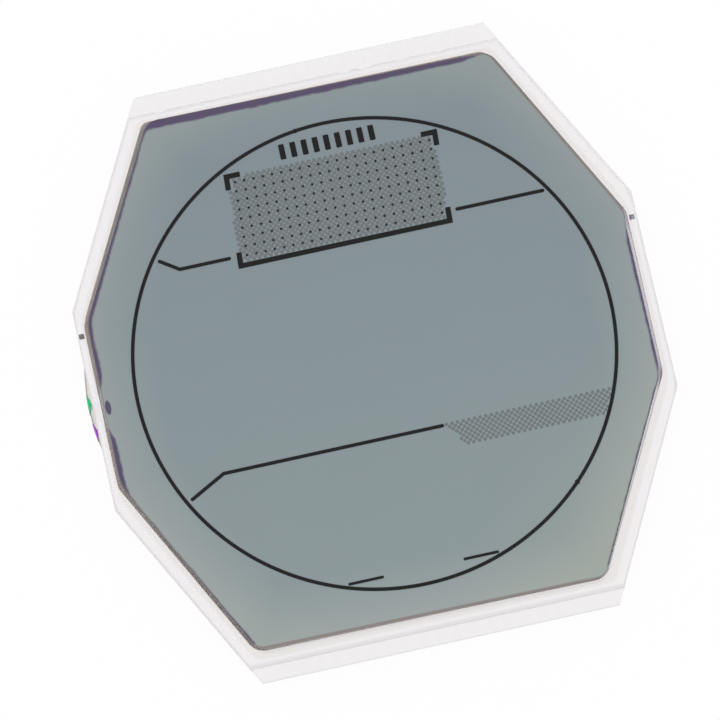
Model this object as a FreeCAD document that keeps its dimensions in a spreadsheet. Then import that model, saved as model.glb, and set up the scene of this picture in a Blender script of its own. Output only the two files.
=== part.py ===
import FreeCAD, Part
import math
import os
import Sketcher

# Reflective liquid crystal screen of a round digital watch.
# The frame: +X points to three o'clock, +Y to twelve o'clock, +Z out of the viewing face.
# The origin is the centre of the glass outline, on the back of the reflector, and the screen lies on its back.
# From the back to the front: reflector, rear polariser, rear plate, cell, front plate, front polariser, ink.

doc = FreeCAD.newDocument("watch_lcd_screen")
sheet = doc.addObject("Spreadsheet::Sheet", "Sizes")

# Driving dimensions in millimetres and degrees, each with what it measures.
SIZES = [
    ("glass_width", 30.0, "front plate, flank to flank"),
    ("glass_height", 32.0, "front plate, upper end to lower end"),
    ("end_side", 18.9, "length of the upper and the lower side of the octagon"),
    ("flank_side", 10.7, "length of the left and the right side of the octagon"),
    ("front_plate_thick", 0.5, "front glass"),
    ("rear_plate_thick", 0.5, "rear glass"),
    ("ledge_depth", 0.9, "how far the front plate stands past the rear plate at each end"),
    ("cell_gap", 0.01, "between the two plates"),
    ("electrode_film", 0.002, "conductive film on each plate"),
    ("polariser_thick", 0.18, "each polariser with its adhesive"),
    ("reflector_thick", 0.06, "reflector foil"),
    ("film_side_margin", 0.57, "film edge to the flanks of the front plate"),
    ("film_end_margin", 1.55, "film edge to the ends of the front plate"),
    ("film_slant_margin", 0.93, "film edge to the slanted sides"),
    ("film_corner_radius", 1.0, "rounded corners of the films"),
    ("front_film_right", 0.01, "misplaced front film, to the right"),
    ("front_film_up", 0.0, "misplaced front film, upwards"),
    ("front_film_turn", -0.55, "misplaced front film, turned"),
    ("rear_film_right", -0.15, "misplaced rear film, to the right"),
    ("rear_film_up", 0.15, "misplaced rear film, upwards"),
    ("rear_film_turn", -0.3, "misplaced rear film, turned"),
    ("seal_side_margin", 0.2, "seal to the flanks of the front plate"),
    ("seal_end_margin", 1.13, "seal to the ends of the front plate"),
    ("seal_slant_margin", 0.42, "seal to the slanted sides"),
    ("seal_width", 0.63, "breadth of the seal line"),
    ("seal_inner_radius", 1.1, "rounded corners inside the seal"),
    ("port_up", -0.05, "height of the fill port's middle"),
    ("port_throat", 0.7, "fill port at the plate's edge"),
    ("port_flare_radius", 2.4, "the lips curve away from the throat"),
    ("lip_half", 2.4, "half the length of the lips along the edge"),
    ("pillar_length", 0.86, "island of seal that breaks the flow in the port"),
    ("pillar_width", 0.34, "the same, across"),
    ("pillar_inset", 0.8, "pillar's middle to the plate's edge"),
    ("plug_depth", 0.45, "how far the resin runs into the port"),
    ("bead_up", 0.17, "height of the resin bead's middle"),
    ("bead_half", 2.24, "half the length of the bead"),
    ("bead_proud", 0.22, "how far the bead stands off the edge"),
    ("bead_sink", 0.21, "depth of the bead's axis behind the edge"),
    ("spot_thick", 0.03, "ink on the bead"),
    ("green_spot_up", 0.4, "height of the green spot"),
    ("green_spot_radius", 0.56, "size of the green spot"),
    ("purple_spot_up", -1.12, "height of the purple spot"),
    ("purple_spot_radius", 0.5, "size of the purple spot"),
    ("mark_size", 0.28, "square alignment marks"),
    ("mark_up", 3.97, "height of the marks"),
    ("mark_inset", 0.24, "mark's middle to the plate's edge"),
    ("pad_count", 19, "contact pads on each ledge"),
    ("pad_pitch", 0.9, "pad to pad"),
    ("pad_width", 0.5, "each pad"),
    ("pad_length", 0.7, "each pad, across the ledge"),
    ("common_inset", 0.25, "common film to the inside of the seal"),
    ("ink_thick", 0.02, "printed graphics"),
    ("tint_thick", 0.005, "the two fine tints"),
    ("tint_gap", 0.07, "window's tint to the window's frame"),
    ("print_right", -0.05, "misplaced print, to the right"),
    ("print_up", -0.165, "misplaced print, upwards"),
    ("ring_diameter", 25.42, "printed ring, outside"),
    ("ring_line", 0.18, "breadth of the ring's line"),
    ("rule_line", 0.13, "breadth of the thin rules"),
    ("tick_line", 0.1, "breadth of the two lower ticks"),
    ("window_left", -5.92, "lower left corner of the graph window"),
    ("window_low", 0.09, "graph window, how low it sits: its upper right corner to the ring"),
    ("window_width", 11.44, "graph window"),
    ("window_tall", 5.12, "graph window"),
    ("window_lean", 3.1, "lean of the window's sides"),
    ("window_line", 0.22, "breadth of the window's line"),
    ("corner_arm", 0.85, "arms at the window's corners"),
    ("dot_columns", 22, "dark dots across the window"),
    ("dot_rows", 9, "dark dots up the window"),
    ("dot_pitch", 0.498, "dark dots, row to row"),
    ("dot_inset", 0.49, "outer dot columns to the window's sides"),
    ("dot_low", 0.64, "lowest dot row to the window's lower edge"),
    ("dot_size", 0.16, "dark dots, corner to corner"),
    ("rule_up", 0.63, "upper rules above the window's lower edge"),
    ("rule_gap", 0.28, "upper rules to the window"),
    ("upper_left_end", 0.18, "outer end of the upper left rule to the ring"),
    ("upper_left_rise", 0.7, "rise of its slanted stretch"),
    ("upper_left_run", 1.02, "run of its slanted stretch"),
    ("upper_right_end", 0.1, "outer end of the upper right rule to the ring"),
    ("lower_rule_up", -4.65, "height of the lower rule"),
    ("lower_rule_end", 2.67, "inner end of the lower rule"),
    ("lower_rule_bend", 0.15, "foot of the lower rule's bend to the ring"),
    ("lower_rule_run", 2.03, "run of its slanted stretch"),
    ("lower_rule_drop", 1.06, "drop of its slanted stretch"),
    ("band_left", 2.8, "left tip of the tinted band"),
    ("band_tall", 1.32, "height of the tinted band"),
    ("band_slope", 0.95, "run of the band's slanted end"),
    ("tick_up", 0.09, "outer end of the left tick to the ring, which sets the height of both"),
    ("tick_left_at", -4.0, "outer end of the left tick"),
    ("tick_right_at", 3.98, "outer end of the right tick"),
    ("tick_length", 1.88, "each tick"),
    ("bar_count", 9, "plain bars above the window"),
    ("bar_pitch", 0.6, "bar to bar"),
    ("bar_width", 0.3, "each bar"),
    ("bar_tall", 0.82, "each bar"),
    ("bar_up", 0.96, "bars' middle to the top of the ring"),
    ("bar_gap", 0.09, "bars to the graph window, at least"),
    ("digit_stroke", 0.6, "breadth of a large digit's strokes"),
    ("digit_gap", 0.08, "between neighbouring strokes"),
    ("digit_tall", 5.4, "large digits"),
    ("digit_wide", 3.2, "large digits"),
    ("digit_up", 4.86, "large digits' middle to the upper row's middle"),
    ("small_stroke", 0.34, "breadth of a small digit's strokes"),
    ("small_tall", 3.0, "small digits"),
    ("small_wide", 1.8, "small digits"),
    ("date_up", 6.9, "date row's middle to the large digits' middle"),
    ("text_up", 2.16, "upper row's middle to the graph window's lower edge"),
    ("pixel_fill", 0.86, "share of the dot pitch that a graph pixel takes"),
    ("colon_rise", 1.08, "middle of each colon square to the digits' middle"),
    ("chip_deep", 0.09, "chips in the rear plate's upper edge"),
    ("nick_radius", 0.3, "the two nicks in the front plate's outline"),
    ("nick_deep", 0.06, "the same, depth"),
    ("slant_nick_share", 0.275, "place of the lower left nick along its slanted side, as a share"),
    ("flank_nick_up", -1.2, "height of the right flank's nick"),
]

for row, (alias, value, meaning) in enumerate(SIZES, start=1):
    sheet.set("A%d" % row, str(value))
    sheet.setAlias("A%d" % row, alias)
    sheet.set("B%d" % row, meaning)
doc.recompute()

VECTOR = FreeCAD.Vector


def size(alias):
    """The value of one named size, for the pieces that are built from numbers."""
    return float(getattr(sheet, alias))


def cells(text):
    """Turns a formula of bare aliases into one that names the sheet's cells."""
    words = sorted((alias for alias, value, meaning in SIZES), key=len, reverse=True)
    out = ""
    at = 0
    while at < len(text):
        for word in words:
            after = at + len(word)
            ends = after >= len(text) or not (text[after].isalnum() or text[after] == "_")
            starts = at == 0 or not (text[at - 1].isalnum() or text[at - 1] == "_")
            if text.startswith(word, at) and starts and ends:
                out += "Sizes." + word
                at = after
                break
        else:
            out += text[at]
            at += 1
    return out


def number(text):
    """Works a formula of bare aliases out, with the sheet's own values."""
    holder.setExpression("Amount", cells(text))
    doc.recompute([holder])
    return float(holder.Amount)


holder = doc.addObject("App::FeaturePython", "Worked_out")
holder.addProperty("App::PropertyFloat", "Amount")

# Levels of the layers, from the back of the reflector up.
REAR_FILM_LEVEL = "reflector_thick"
REAR_PLATE_LEVEL = REAR_FILM_LEVEL + " + polariser_thick"
CELL_LEVEL = REAR_PLATE_LEVEL + " + rear_plate_thick"
FRONT_PLATE_LEVEL = CELL_LEVEL + " + cell_gap"
FRONT_FILM_LEVEL = FRONT_PLATE_LEVEL + " + front_plate_thick"
INK_LEVEL = FRONT_FILM_LEVEL + " + polariser_thick"
SEGMENT_LEVEL = FRONT_PLATE_LEVEL + " - electrode_film"

# The slanted side of the glass runs from the end of the upper side to the top of the flank.
SLANT_RUN = "(glass_width - end_side) / 2"
SLANT_DROP = "(glass_height - flank_side) / 2"
SLANT_LENGTH = "hypot(%s; %s)" % (SLANT_RUN, SLANT_DROP)


def octagon(side_margin, end_margin, slant_margin):
    """Corners of the glass octagon drawn inwards by three margins, clockwise from the upper left.

    A slanted side keeps its direction, so its ends are where the moved slant meets the moved end and flank.
    """
    wide = "(glass_width / 2 - (%s))" % side_margin
    tall = "(glass_height / 2 - (%s))" % end_margin
    end = "(end_side / 2 + (%s * (%s) - (%s) * %s) / (%s))" % (
        SLANT_RUN, end_margin, slant_margin, SLANT_LENGTH, SLANT_DROP)
    flank = "(flank_side / 2 + (%s * (%s) - (%s) * %s) / (%s))" % (
        SLANT_DROP, side_margin, slant_margin, SLANT_LENGTH, SLANT_RUN)
    quarter = [("-" + end, tall), (end, tall), (wide, flank), (wide, "-" + flank)]
    return quarter + [(end, "-" + tall), ("-" + end, "-" + tall), ("-" + wide, "-" + flank), ("-" + wide, flank)]


def origin_plane(body, role):
    """One of a body's own origin planes."""
    return [feature for feature in body.Origin.OriginFeatures if feature.Role == role][0]


def flat_sketch(body, name, outlines):
    """A sketch on the body's XY plane with closed outlines, each corner held by two formulas."""
    sketch = body.newObject("Sketcher::SketchObject", name)
    sketch.AttachmentSupport = [(origin_plane(body, "XY_Plane"), "")]
    sketch.MapMode = "FlatFace"
    for outline in outlines:
        places = [(number(across), number(up)) for across, up in outline]
        first = len(sketch.Geometry)
        count = len(places)
        for corner in range(count):
            start = VECTOR(*places[corner], 0)
            end = VECTOR(*places[(corner + 1) % count], 0)
            sketch.addGeometry(Part.LineSegment(start, end), False)
        for corner in range(count):
            joined = Sketcher.Constraint("Coincident", first + corner, 2, first + (corner + 1) % count, 1)
            sketch.addConstraint(joined)
            for kind, formula, place in zip(("DistanceX", "DistanceY"), outline[corner], places[corner]):
                held = sketch.addConstraint(Sketcher.Constraint(kind, -1, 1, first + corner, 1, place))
                sketch.setExpression("Constraints[%d]" % held, cells(formula))
    return sketch


def upright_edges(shape, wanted=None):
    """Names of the straight edges along Z, all of them or those at the wanted corners."""
    names = []
    for index, edge in enumerate(shape.Edges, start=1):
        ends = [vertex.Point for vertex in edge.Vertexes]
        if len(ends) == 2 and (ends[0] - ends[1]).cross(VECTOR(0, 0, 1)).Length < 1e-7:
            if wanted is None or any(math.hypot(ends[0].x - x, ends[0].y - y) < 1e-4 for x, y in wanted):
                names.append("Edge%d" % index)
    return names


def place(thing, across="0", up="0", level="0", turn=None):
    """Sets a Placement by formulas: across, up, level and a turn about Z in degrees."""
    thing.setExpression("Placement.Base.x", cells(across))
    thing.setExpression("Placement.Base.y", cells(up))
    thing.setExpression("Placement.Base.z", cells(level))
    if turn is not None:
        thing.Placement.Rotation = FreeCAD.Rotation(VECTOR(0, 0, 1), 1.0)
        thing.setExpression("Placement.Rotation.Angle", cells(turn))


def plate(name, outlines, thickness, radius=None, rounded=None):
    """A flat body: a pad of closed outlines, with its upright corners rounded where a radius is given."""
    body = doc.addObject("PartDesign::Body", name)
    sketch = flat_sketch(body, name + "_outline", outlines)
    pad = body.newObject("PartDesign::Pad", name + "_pad")
    pad.Profile = sketch
    pad.setExpression("Length", cells(thickness))
    doc.recompute()
    if radius is not None:
        corners = None
        if rounded is not None:
            corners = [(number(across), number(up)) for across, up in rounded]
        fillet = body.newObject("PartDesign::Fillet", name + "_corners")
        fillet.Base = (pad, upright_edges(pad.Shape, corners))
        fillet.setExpression("Radius", cells(radius))
    return body


def block(name, low, high):
    """A box from one corner to the other, each given by three formulas."""
    box = doc.addObject("Part::Box", name)
    for side, axis, start, end in zip(("Length", "Width", "Height"), "xyz", low, high):
        box.setExpression(side, cells("(%s) - (%s)" % (end, start)))
        box.setExpression("Placement.Base." + axis, cells(start))
    return box


def rod(name, radius, height, across, up, level):
    """An upright cylinder at a place given by formulas."""
    cylinder = doc.addObject("Part::Cylinder", name)
    cylinder.setExpression("Radius", cells(radius))
    cylinder.setExpression("Height", cells(height))
    place(cylinder, across, up, level)
    return cylinder


def cut(name, base, tool):
    """Base without tool."""
    result = doc.addObject("Part::Cut", name)
    result.Base = base
    result.Tool = tool
    return result


def fuse(name, *things):
    """Several touching solids as one."""
    result = doc.addObject("Part::MultiFuse", name)
    result.Shapes = list(things)
    result.Refine = True
    return result


def common(name, base, tool):
    """What two solids share."""
    result = doc.addObject("Part::Common", name)
    result.Base = base
    result.Tool = tool
    return result


def group(name, shapes, level):
    """Many small separate solids as one node, at a level worked out from the sheet."""
    feature = doc.addObject("Part::Feature", name)
    feature.Shape = Part.makeCompound(shapes)
    feature.Placement = FreeCAD.Placement(VECTOR(0, 0, number(level)), FreeCAD.Rotation())
    return feature


def prism(points, height):
    """A flat polygon of (x, y) points as a solid of the given height."""
    corners = [VECTOR(x, y, 0) for x, y in points]
    wire = Part.makePolygon(corners + corners[:1])
    return Part.Face(wire).extrude(VECTOR(0, 0, height))


def oblong(middle_x, middle_y, wide, tall, height):
    """A flat rectangular solid about a middle."""
    left, right = middle_x - wide / 2, middle_x + wide / 2
    low, high = middle_y - tall / 2, middle_y + tall / 2
    return prism([(left, low), (right, low), (right, high), (left, high)], height)


nodes = []


def node(thing, label):
    """Marks a finished piece: its label is the node's name."""
    thing.Label = label
    nodes.append(thing)
    return thing


# The two glass plates
# The front plate is the full octagon. The rear plate is cut shorter at both ends, which leaves a ledge of the
# front plate free on its underside for the contact pads. Its upper edge has the small chips of a broken edge,
# and the front plate has two nicks in its outline.


def bites(name, places, up, level, deep):
    """Round bites out of an edge along X, each a sphere given by its place and half length, all equally deep."""
    tools = []
    for index, (across, half_long) in enumerate(places, start=1):
        radius = "((%g ^ 2 + %s ^ 2) / (2 * %s))" % (half_long, deep, deep)
        bite = doc.addObject("Part::Sphere", "%s_%d" % (name, index))
        bite.setExpression("Radius", cells(radius))
        place(bite, str(across), "%s + %s - %s" % (up, radius, deep), level)
        tools.append(bite)
    return tools


front_blank = plate("Front_plate", [octagon("0", "0", "0")], "front_plate_thick")
place(front_blank, level=FRONT_PLATE_LEVEL)
NICK_OUT = "(nick_radius - nick_deep)"
slant_nick = rod("Slant_nick", "nick_radius", "front_plate_thick / 3",
                 "-glass_width / 2 + slant_nick_share * %s - %s * %s / %s" % (
                     SLANT_RUN, NICK_OUT, SLANT_DROP, SLANT_LENGTH),
                 "-flank_side / 2 - slant_nick_share * %s - %s * %s / %s" % (
                     SLANT_DROP, NICK_OUT, SLANT_RUN, SLANT_LENGTH),
                 FRONT_FILM_LEVEL + " - front_plate_thick / 3")
flank_nick = rod("Flank_nick", "nick_radius", "front_plate_thick / 2",
                 "glass_width / 2 + " + NICK_OUT, "flank_nick_up", FRONT_PLATE_LEVEL)
front_nicks = fuse("Nicks", slant_nick, flank_nick)
front_glass = node(cut("Front_glass", front_blank, front_nicks), "front_glass")

rear_outline = octagon("0", "ledge_depth", "0")
rear_blank = plate("Rear_plate", [rear_outline], "rear_plate_thick")
place(rear_blank, level=REAR_PLATE_LEVEL)
# Chips along the rear plate's upper edge: place along the edge and half length.
CHIPS = [(-8.25, 0.32), (1.75, 0.36), (2.8, 0.42), (4.75, 0.3), (6.85, 0.18), (9.6, 0.16)]
chips = bites("Chip", CHIPS, "glass_height / 2 - ledge_depth", CELL_LEVEL, "chip_deep")
rear_glass = node(cut("Rear_glass", rear_blank, fuse("Chips", *chips)), "rear_glass")

# The seal
# A printed line of epoxy joins the plates all round. On the left its two lips turn out to the edge and leave
# the fill port between them, with an island in front of it, and the resin that closes the port stands proud
# of the edge as a low bead.

seal_outer = octagon("seal_side_margin", "seal_end_margin", "seal_slant_margin")
seal_inner = octagon("seal_side_margin + seal_width", "seal_end_margin + seal_width",
                     "seal_slant_margin + seal_width")
seal_line = plate("Seal_line", [seal_outer, seal_inner], "cell_gap", "seal_inner_radius", seal_inner)
place(seal_line, level=CELL_LEVEL)

PORT_INNER = "-glass_width / 2 + seal_side_margin + seal_width"
FLARE_DEPTH = "(seal_side_margin + seal_width)"
FLARE_HALF = ("(port_throat / 2 + sqrt(port_flare_radius ^ 2 - (port_flare_radius - %s) ^ 2))" % FLARE_DEPTH)
EDGE = "-glass_width / 2"

lips = block("Lips", (EDGE, "port_up - lip_half", CELL_LEVEL),
             (PORT_INNER, "port_up + lip_half", CELL_LEVEL + " + cell_gap"))


def port_channel(name, low, high):
    """The space between the lips: a block less two round lips whose curves end at the throat."""
    space = block(name + "_space", (EDGE, "port_up - %s" % FLARE_HALF, low),
                  (PORT_INNER, "port_up + %s" % FLARE_HALF, high))
    tall = "(%s) - (%s)" % (high, low)
    lip_x = PORT_INNER + " - port_flare_radius"
    upper = rod(name + "_upper_lip", "port_flare_radius", tall, lip_x, "port_up + " + FLARE_HALF, low)
    lower = rod(name + "_lower_lip", "port_flare_radius", tall, lip_x, "port_up - " + FLARE_HALF, low)
    return cut(name, space, fuse(name + "_lips", upper, lower))


seal_channel = port_channel("Seal_channel", CELL_LEVEL, CELL_LEVEL + " + cell_gap")
seal_open = cut("Seal_open", fuse("Seal_with_lips", seal_line, lips), seal_channel)


def mark_square(name, side):
    """A square alignment mark under the front plate, at the left (-1) or the right (1)."""
    middle = "%d * (glass_width / 2 - mark_inset)" % side
    return block(name, (middle + " - mark_size / 2", "mark_up - mark_size / 2", SEGMENT_LEVEL),
                 (middle + " + mark_size / 2", "mark_up + mark_size / 2", FRONT_PLATE_LEVEL))


left_mark = mark_square("Left_mark", -1)
right_mark = mark_square("Right_mark", 1)
node(left_mark, "left_alignment_mark")
node(right_mark, "right_alignment_mark")
seal_seats = fuse("Mark_seats", mark_square("Left_seat", -1), mark_square("Right_seat", 1))
node(cut("Perimeter_seal", seal_open, seal_seats), "perimeter_seal")


def pillar_shape(name, low, high):
    """The elliptical island in front of the port."""
    ellipse = doc.addObject("Part::Ellipse", name + "_outline")
    ellipse.setExpression("MajorRadius", cells("pillar_length / 2"))
    ellipse.setExpression("MinorRadius", cells("pillar_width / 2"))
    place(ellipse, EDGE + " + pillar_inset", "port_up", low, "90")
    solid = doc.addObject("Part::Extrusion", name)
    solid.Base = ellipse
    solid.DirMode = "Custom"
    solid.Dir = VECTOR(0, 0, 1)
    solid.Solid = True
    solid.setExpression("LengthFwd", cells("(%s) - (%s)" % (high, low)))
    return solid


node(pillar_shape("Port_pillar", CELL_LEVEL, CELL_LEVEL + " + cell_gap"), "port_pillar")

BEAD_LEVEL = CELL_LEVEL + " + cell_gap / 2"


def bead_shape(name, skin):
    """The bead as a piece of a round bar bent about an upright axis, left of the plate's edge, grown by a skin.

    The bar's middle line lies bead_sink behind the edge at its outermost point, so the bead tapers to both ends.
    """
    bar = "(bead_sink + bead_proud)"
    bend = "((bead_half ^ 2 + bead_proud ^ 2) / (2 * bead_proud) - %s)" % bar
    ring = doc.addObject("Part::Torus", name + "_ring")
    ring.setExpression("Radius1", cells(bend))
    ring.setExpression("Radius2", cells("%s + %s" % (bar, skin)))
    place(ring, "%s + bead_sink + %s" % (EDGE, bend), "bead_up", BEAD_LEVEL)
    low = ("%s - 2 * %s" % (EDGE, bar), "bead_up - 2 * bead_half", "%s - 2 * %s" % (BEAD_LEVEL, bar))
    high = (EDGE, "bead_up + 2 * bead_half", "%s + 2 * %s" % (BEAD_LEVEL, bar))
    return common(name, ring, block(name + "_outside", low, high))


bead = bead_shape("Bead", "0")
plug_room = block("Plug_room", (EDGE, "port_up - lip_half", CELL_LEVEL),
                  (EDGE + " + plug_depth", "port_up + lip_half", CELL_LEVEL + " + cell_gap"))
plug = common("Plug", port_channel("Plug_channel", CELL_LEVEL, CELL_LEVEL + " + cell_gap"), plug_room)
node(fuse("End_seal", bead, plug), "end_seal")
ink_skin = cut("Ink_skin", bead_shape("Inked_bead", "spot_thick"), bead)


def ink_spot(name, label, up, radius):
    """A thin round spot of ink over the outside of the bead."""
    spot = doc.addObject("Part::Cylinder", name + "_spot")
    spot.setExpression("Radius", cells(radius))
    spot.setExpression("Height", cells("2 * (bead_sink + bead_proud)"))
    spot.Placement.Rotation = FreeCAD.Rotation(VECTOR(0, 1, 0), -90)
    spot.setExpression("Placement.Base.x", cells(EDGE + " + bead_sink"))
    spot.setExpression("Placement.Base.y", cells(up))
    spot.setExpression("Placement.Base.z", cells(BEAD_LEVEL))
    return node(common(name, ink_skin, spot), label)


ink_spot("Green_spot", "green_ink_spot", "green_spot_up", "green_spot_radius")
ink_spot("Purple_spot", "purple_ink_spot", "purple_spot_up", "purple_spot_radius")

# The cell's contents
# The liquid crystal fills the space inside the seal and the port as far as the plug. The front plate carries
# the segments under it, and the rear plate one common film.

FLUID_LOW = CELL_LEVEL + " + electrode_film"
FLUID_TALL = "cell_gap - 2 * electrode_film"
fluid_pool = plate("Fluid_pool", [seal_inner], FLUID_TALL, "seal_inner_radius")
place(fluid_pool, level=FLUID_LOW)
fluid_channel = port_channel("Fluid_channel", FLUID_LOW, SEGMENT_LEVEL)
plug_space = block("Plug_space", (EDGE, "port_up - lip_half", FLUID_LOW),
                   (EDGE + " + plug_depth", "port_up + lip_half", SEGMENT_LEVEL))
fluid_reach = cut("Fluid_reach", fluid_channel, plug_space)
fluid = fuse("Fluid", fluid_pool, fluid_reach)
node(cut("Liquid_crystal", fluid, pillar_shape("Pillar_space", FLUID_LOW, SEGMENT_LEVEL)), "liquid_crystal")

common_outline = octagon(*["seal_%s_margin + seal_width + common_inset" % side
                           for side in ("side", "end", "slant")])
common_film = plate("Common_film", [common_outline], "electrode_film", "seal_inner_radius")
place(common_film, level=CELL_LEVEL)
node(common_film, "common_electrode")

# Rows of the display, from the ring down: the bars lie inside the ring's top, the graph window as high as its
# corner and the bars let it, and the three rows of digits follow below each other.
RIM = "(ring_diameter / 2 - ring_line)"


def reach(gap, aside):
    """How far from the ring's middle a point can lie, at a place aside, to stay a gap inside the ring."""
    return "sqrt((%s - %s) ^ 2 - (%s) ^ 2)" % (RIM, gap, aside)


LEAN = "tan(window_lean * 1 deg)"
LEFT, RIGHT = "window_left", "(window_left + window_width)"
BAR_LEVEL = "(%s - bar_up)" % RIM
CORNER_REACH = reach("window_low", RIGHT + " + window_tall * " + LEAN)
HIGH = "min(%s; %s - bar_tall / 2 - bar_gap)" % (CORNER_REACH, BAR_LEVEL)
LOW = "(%s - window_tall)" % HIGH
print_x, print_y = size("print_right"), size("print_up")
text_level = print_y + number(LOW + " - text_up")
digit_level = text_level - size("digit_up")
date_level = digit_level - size("date_up")


def digit(middle_x, middle_y, wide, tall, stroke):
    """The seven strokes of one digit: six round the outside with mitred ends and a pointed one across.

    The upper level stroke and the upper left stroke are drawn once, and the others are their mirror images.
    """
    gap, half_stroke = size("digit_gap"), stroke / 2
    left, high = -wide / 2, tall / 2
    level = [(left + stroke + gap, high - stroke), (-left - stroke - gap, high - stroke), (-left - gap, high),
             (left + gap, high)]
    upright = [(left, gap), (left + stroke, half_stroke + gap), (left + stroke, high - stroke - gap),
               (left, high - gap)]
    across = [(left + half_stroke, 0), (left + stroke, -half_stroke), (-left - stroke, -half_stroke),
              (-left - half_stroke, 0), (-left - stroke, half_stroke), (left + stroke, half_stroke)]
    mirrored = [(level, 1, 1), (level, 1, -1), (across, 1, 1)]
    mirrored += [(upright, side_x, side_y) for side_x in (1, -1) for side_y in (1, -1)]
    strokes = []
    for outline, side_x, side_y in mirrored:
        points = [(middle_x + x * side_x, middle_y + y * side_y) for x, y in outline]
        strokes.append(prism(points[::side_x * side_y], size("electrode_film")))
    return strokes


def digits(name, label, middles, middle_y, wide, tall, stroke):
    """A row of digits as one node under the front plate."""
    strokes = []
    for middle_x in middles:
        strokes += digit(middle_x, middle_y, wide, tall, stroke)
    return node(group(name, strokes, SEGMENT_LEVEL), label)


big_wide, big_tall, big_stroke = size("digit_wide"), size("digit_tall"), size("digit_stroke")
small_wide, small_tall, small_stroke = size("small_wide"), size("small_tall"), size("small_stroke")
big_step = big_wide + big_stroke
small_step = small_wide + 2 * small_stroke
time_left = -(4 * big_step + 2 * small_step) / 2
hours = [time_left + (place_in + 0.5) * big_step for place_in in (0, 1)]
minutes = [middle + 2 * big_step + big_stroke for middle in hours]
seconds = [minutes[1] + big_step / 2 + (place_in + 0.5) * small_step for place_in in (0, 1)]
digits("Hour_digits", "hour_segments", hours, digit_level, big_wide, big_tall, big_stroke)
digits("Minute_digits", "minute_segments", minutes, digit_level, big_wide, big_tall, big_stroke)
seconds_level = digit_level - (big_tall - small_tall) / 2
digits("Second_digits", "second_segments", seconds, seconds_level, small_wide, small_tall, small_stroke)
row_of_six = [(place_in - 2.5) * small_step for place_in in range(6)]
digits("Text_digits", "upper_row_segments", row_of_six, text_level, small_wide, small_tall, small_stroke)
digits("Date_digits", "date_segments", row_of_six, date_level, small_wide, small_tall, small_stroke)

colon_x = (hours[1] + minutes[0]) / 2
colon = [oblong(colon_x, digit_level + side * size("colon_rise"), big_stroke, big_stroke, size("electrode_film"))
         for side in (-1, 1)]
node(group("Colon", colon, SEGMENT_LEVEL), "colon_segments")

# The graph window
# Its dark dots stand on a leaning lattice, and each pixel of the graph fills the field between four dots.

columns, rows = int(size("dot_columns")), int(size("dot_rows"))
row_pitch = size("dot_pitch")
column_pitch = (size("window_width") - 2 * size("dot_inset")) / (columns - 1)
lean, low = number(LEAN), number(LOW)


def lattice(column, row):
    """Middle of a dark dot, which may be a fraction of a step: the column leans to the right as it rises."""
    rise = size("dot_low") + row * row_pitch
    across = size("window_left") + size("dot_inset") + column * column_pitch
    return print_x + across + rise * lean, print_y + low + rise


pixels = [oblong(*lattice(column + 0.5, row + 0.5), column_pitch * size("pixel_fill"),
                 row_pitch * size("pixel_fill"), size("electrode_film"))
          for row in range(rows - 1) for column in range(columns - 1)]
node(group("Graph_pixels", pixels, SEGMENT_LEVEL), "graph_pixels")


def diamond(middle_x, middle_y, across, height):
    """A small four-sided dot that stands on its corner."""
    half_across = across / 2
    return prism([(middle_x + half_across, middle_y), (middle_x, middle_y + half_across),
                  (middle_x - half_across, middle_y), (middle_x, middle_y - half_across)], height)


dots = [diamond(*lattice(column, row), size("dot_size"), size("ink_thick"))
        for row in range(rows) for column in range(columns)]

# Contact pads
# They lie on the underside of both ledges and face away from the viewer.


def contact_pads(name, label, side):
    """A row of pads along the lower (-1) or the upper (1) ledge."""
    count = int(size("pad_count"))
    middle_y = side * (size("glass_height") - size("ledge_depth")) / 2
    pads = [oblong((index - (count - 1) / 2) * size("pad_pitch"), middle_y, size("pad_width"), size("pad_length"),
                   size("electrode_film")) for index in range(count)]
    return node(group(name, pads, SEGMENT_LEVEL), label)


contact_pads("Upper_pads", "upper_contact_pads", 1)
contact_pads("Lower_pads", "lower_contact_pads", -1)

# The films
# Front polariser, rear polariser and reflector are cut to the same rounded octagon. Each was stuck on a little
# out of place, which is why their edges don't line up.

film_outline = octagon("film_side_margin", "film_end_margin", "film_slant_margin")


def film(name, label, thickness, level, right, up, turn):
    """One film on the stack, moved and turned by its own misplacement."""
    body = plate(name, [film_outline], thickness, "film_corner_radius")
    place(body, right, up, level, turn)
    return node(body, label)


film("Front_film", "front_polariser", "polariser_thick", FRONT_FILM_LEVEL,
     "front_film_right", "front_film_up", "front_film_turn")
film("Rear_film", "rear_polariser", "polariser_thick", REAR_FILM_LEVEL,
     "rear_film_right", "rear_film_up", "rear_film_turn")
film("Foil", "reflector", "reflector_thick", "0", "rear_film_right", "rear_film_up", "rear_film_turn")

# The print on the front polariser

RING_X, RING_Y = "print_right", "print_up"
ring_disc = rod("Ring_disc", "ring_diameter / 2", "ink_thick", RING_X, RING_Y, INK_LEVEL)
ring_hole = rod("Ring_hole", "ring_diameter / 2 - ring_line", "ink_thick", RING_X, RING_Y, INK_LEVEL)
# Two small blobs where the ring's ink ran: clock angle from +X and radius.
BLOBS = [(96.8, 0.12), (-46.0, 0.13)]
blob_rods = []
for index, (angle, radius) in enumerate(BLOBS, start=1):
    mid_line = "(ring_diameter / 2 - ring_line / 2)"
    blob_rods.append(rod("Ring_blob_%d" % index, "%g" % radius, "ink_thick",
                         "%s + %s * cos(%g deg)" % (RING_X, mid_line, angle),
                         "%s + %s * sin(%g deg)" % (RING_Y, mid_line, angle), INK_LEVEL))
node(fuse("Ring", cut("Ring_line", ring_disc, ring_hole), *blob_rods), "printed_ring")


def printed(name, label, outline):
    """One flat field of ink on the front polariser, drawn in the print's own frame."""
    body = plate(name, [outline], "ink_thick")
    place(body, "print_right", "print_up", INK_LEVEL)
    return node(body, label)


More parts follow.
